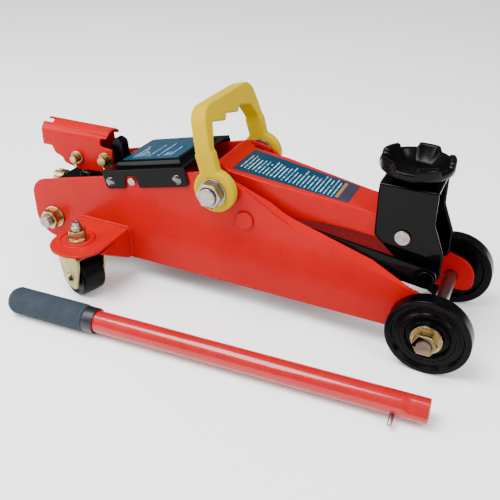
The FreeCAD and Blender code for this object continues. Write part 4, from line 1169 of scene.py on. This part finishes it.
@dataclass
class LooseHandle:
    """Handle that lies on the floor: tube with a crimped end, knurled grip, collar and pin.

    Attributes:
        jack: The frame.
        start: Left end of the handle's axis, in millimetres.
        turn: Turn of the handle about +Z, in degrees.
        length: Whole length, in millimetres.
        radius: Radius of the tube.
        wall: Wall of the tube.
        crimp: Length of the crimped end.
        dent: Depth of the crimp.
        grip_radius: Radius of the grip over its knurls.
        grip_length: Length of the grip.
        pin_inset: Distance of the cross pin from the tube's end.
        pin_reach: Distance of the pin's tip from the tube's axis.
        pin_radius: Radius of the pin.
        pin_lean: How far the pin points below the level, in degrees.
    """

    jack: Jack
    start: Point = (-169.4, -137.3, 12.5)
    turn: float = 3.06
    length: float = 383.5
    radius: float = 9.9
    wall: float = 1.8
    crimp: float = 21.0
    dent: float = 1.5
    grip_radius: float = 12.5
    grip_length: float = 82.0
    pin_inset: float = 26.0
    pin_reach: float = 19.5
    pin_radius: float = 2.0
    pin_lean: float = 22.0

    def build(self) -> None:
        """Builds the handle's pieces."""
        self.tube()
        self.grip()
        self.jack.soften("handle_collar", 0.9, BLACK_COLLAR)
        self.pin()

    def placed(self, point: Point) -> Point:
        """Moves a point from the handle's own axis, along X, to its place on the floor."""
        turn = math.radians(self.turn)
        x, y, z = point
        return (self.start[0] + x * math.cos(turn) - y * math.sin(turn),
                self.start[1] + x * math.sin(turn) + y * math.cos(turn), self.start[2] + z)

    def section(self, along: float, radius: float, count: int = 48) -> list[Point]:
        """One ring of the tube, dented on two sides near its end.

        Args:
            along: Distance from the handle's left end, in millimetres.
            radius: Radius of the ring where it isn't dented, in millimetres.
            count: Points on the ring.

        Returns:
            The ring's points, in millimetres.
        """
        depth = self.dent * smooth_step((along - self.length + self.crimp) / 7.0)
        ring = []
        for index in range(count):
            angle = math.tau * index / count
            side = math.cos(angle - math.radians(138))
            bent = radius - depth * max(0.0, (abs(side) - 0.72) / 0.28)
            ring.append(self.placed((along, bent * math.cos(angle), bent * math.sin(angle))))
        return ring

    def tube(self) -> None:
        """Lofts the tube inside and out, with small rounded lips."""
        lip = 0.4
        inner = self.radius - self.wall
        stations = [4.0 + lip, 60.0, 200.0, self.length - self.crimp]
        stations += [self.length - self.crimp + step for step in range(1, int(self.crimp))]
        stations.append(self.length - lip)
        outside = [self.section(x, self.radius) for x in stations]
        inside = [self.section(x, inner) for x in reversed(stations)]
        nose = [self.section(self.length - 0.1, self.radius - lip * 0.6),
                self.section(self.length, self.radius - lip * 1.4),
                self.section(self.length, inner + lip * 1.2),
                self.section(self.length - 0.1, inner + lip * 0.4)]
        points, faces = lofted(outside + nose + inside)
        piece = skin("handle_tube_drawn", points, faces, RED_TUBE_ENAMEL)
        self.jack.add(piece, "loose_handle", "red_paint", ["handle_tube"])

    def pin(self) -> None:
        """Drives the cross pin through the tube's wall, outwards and down, with a rounded tip."""
        lean = math.radians(self.pin_lean)
        along = self.length - self.pin_inset
        count = 20
        profile = [(self.radius - 3.0, self.pin_radius), (self.pin_reach - 0.7, self.pin_radius),
                   (self.pin_reach - 0.2, self.pin_radius - 0.2), (self.pin_reach, self.pin_radius - 0.7)]
        rings = []
        for reach, radius in profile:
            ring = []
            for index in range(count):
                angle = math.tau * index / count
                side, rise = radius * math.cos(angle), radius * math.sin(angle)
                ring.append(self.placed((
                    along + side,
                    -reach * math.cos(lean) + rise * math.sin(lean),
                    -reach * math.sin(lean) - rise * math.cos(lean))))
            rings.append(ring)
        points, faces = capped(rings)
        piece = skin("handle_pin_driven", points, faces, CLEAR_ZINC)
        self.jack.add(piece, "loose_handle", "zinc", ["handle_pin"])

    def grip(self) -> None:
        """Moulds the grip: a plain body with a rounded end, under diamond knurls."""
        knurl = 0.55
        core = self.grip_radius - knurl
        rounding = 8.5
        profile = [(0.0, core * 0.02), (0.0, core - rounding)]
        for step in range(1, 9):
            bend = math.pi / 2 * step / 8
            profile.append((rounding * (1 - math.cos(bend)), core - rounding + rounding * math.sin(bend)))
        end = self.grip_length
        profile += [(end - 1.5, core), (end - 0.6, core - 0.2), (end, core - 0.9), (end, self.radius + 0.3)]
        count = 56
        rings = [[self.placed((along, radius * math.cos(math.tau * j / count),
                               radius * math.sin(math.tau * j / count))) for j in range(count)]
                 for along, radius in profile]
        points, faces = capped(rings)
        body = skin("handle_grip_moulded", points, faces, SLATE_RUBBER)
        self.jack.add(body, "loose_handle", "grip_foam", ["handle_grip"])
        start, length = 8.0, end - 10.5
        tree = knurl_tree(core + knurl * 0.02, length, 50, 34, knurl)
        base = bpy.data.meshes.new("knurl_base")
        knurls = tree.run("handle_grip_knurls", base, SLATE_RUBBER)
        move = Matrix.Translation(Vector(self.placed((start, 0.0, 0.0))) * MM)
        knurls.data.transform(move @ Matrix.Rotation(math.radians(self.turn), 4, "Z"))
        for face in knurls.data.polygons:
            face.use_smooth = False
        self.jack.add(knurls, "loose_handle", "grip_foam")


# ---------------------------------------------------------------- studio

@dataclass
class Studio:
    """Floor, lights and camera.

    Attributes:
        azimuth: Camera's turn to the right of straight along +Y, in degrees.
        elevation: Camera's height above the level, in degrees.
        roll: Turn about its own line of sight, in degrees.
        distance: Distance from the target, in metres.
        focal: Focal length in widths of the image.
        target: Point that the lens axis passes through.
        middle: Where the lens axis meets the image, as shares of its width and height.
        sky_light: Strength of the air for everything but reflections.
        sky_mirror: Strength of the air in reflections, as of a dimmer room.
    """

    azimuth: float = 24.6
    elevation: float = 28.6
    roll: float = 0.4
    distance: float = 0.6285
    focal: float = 1.327
    target: Point = (0.0204, 0.0, 0.0734)
    middle: tuple[float, float] = (0.5208, 0.4376)
    sky_light: float = 1.2
    sky_mirror: float = 0.2

    def camera(self) -> None:
        """Sets the camera up and makes it the scene's."""
        turn, rise = math.radians(self.azimuth), math.radians(self.elevation)
        back = Vector((math.sin(turn) * math.cos(rise), -math.cos(turn) * math.cos(rise),
                       math.sin(rise)))
        level = Vector((math.cos(turn), math.sin(turn), 0))
        upward = back.cross(level)
        lean = math.radians(self.roll)
        right = level * math.cos(lean) + upward * math.sin(lean)
        upward = upward * math.cos(lean) - level * math.sin(lean)
        data = bpy.data.cameras.new("studio_camera")
        data.sensor_width = 36
        data.lens = self.focal * data.sensor_width
        data.shift_x = 0.5 - self.middle[0]
        data.shift_y = self.middle[1] - 0.5
        data.clip_start = 0.02
        item = bpy.data.objects.new("studio_camera", data)
        bpy.context.scene.collection.objects.link(item)
        place = Matrix((right, upward, back)).transposed().to_4x4()
        place.translation = Vector(self.target) + back * self.distance
        item.matrix_world = place
        bpy.context.scene.camera = item

    def lamp(self, name: str, spot: Point, aim: Point, size: tuple[float, float], power: float,
             colour: str = "#FFFFFF") -> None:
        """Hangs one soft rectangular lamp.

        Args:
            name: The lamp's name.
            spot: Its place, in metres.
            aim: The point it faces.
            size: Width and height, in metres.
            power: Watts.
            colour: sRGB colour of its light.
        """
        data = bpy.data.lights.new(name, "AREA")
        data.shape = "RECTANGLE"
        data.size, data.size_y = size
        data.energy = power
        data.color = linear(colour)[:3]
        item = bpy.data.objects.new(name, data)
        item.location = spot
        item.rotation_euler = (Vector(aim) - Vector(spot)).to_track_quat("-Z", "Y").to_euler()
        bpy.context.scene.collection.objects.link(item)

    def build(self) -> None:
        """Lays the floor, hangs the lamps and sets up the camera."""
        half = 6.0
        mesh = bpy.data.meshes.new("studio_floor")
        mesh.from_pydata([(-half, -half, 0), (half, -half, 0), (half, half, 0), (-half, half, 0)], [],
                         [(0, 1, 2, 3)])
        floor = new_object("studio_floor", mesh)
        mesh.materials.append(Moulding("pale_backdrop_paper", "#F4F4F3", "#EFEFEE", 0.9, patch=400,
                                       grain=3.0, relief=0.02, gloss=0.1).material())
        world = bpy.data.worlds.new("studio_air")
        world.use_nodes = True
        air = world.node_tree
        sky = air.nodes["Background"]
        sky.inputs["Color"].default_value = linear("#FFFFFF")
        ray = add_node(air, "ShaderNodeLightPath")
        strength = add_node(air, "ShaderNodeMapRange", inputs={
            "Value": ray.outputs["Is Glossy Ray"], "To Min": self.sky_light, "To Max": self.sky_mirror})
        air.links.new(strength.outputs[0], sky.inputs["Strength"])
        bpy.context.scene.world = world
        self.lamp("overhead_softbox", (-0.35, -0.45, 1.35), (0.0, 0.0, 0.05), (0.9, 0.7), 40)
        self.lamp("left_softbox", (-1.3, -0.9, 0.8), (0.0, 0.0, 0.08), (0.7, 0.9), 18)
        self.lamp("right_strip", (1.2, -0.5, 0.9), (0.05, 0.0, 0.1), (0.3, 1.0), 14)
        self.camera()


def main() -> None:
    """Builds every sub-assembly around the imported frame."""
    logging.basicConfig(level=logging.INFO, format="%(name)s: %(message)s")
    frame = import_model()
    jack = Jack(frame)
    for assembly in (Chassis(jack), LiftingLinkage(jack), Wheels(jack), PowerUnit(jack),
                     HandleSocket(jack), Cover(jack), Bail(jack), LooseHandle(jack), Studio()):
        assembly.build()
        LOG.info("built %s", type(assembly).__name__)


if __name__ == "__main__":
    main()
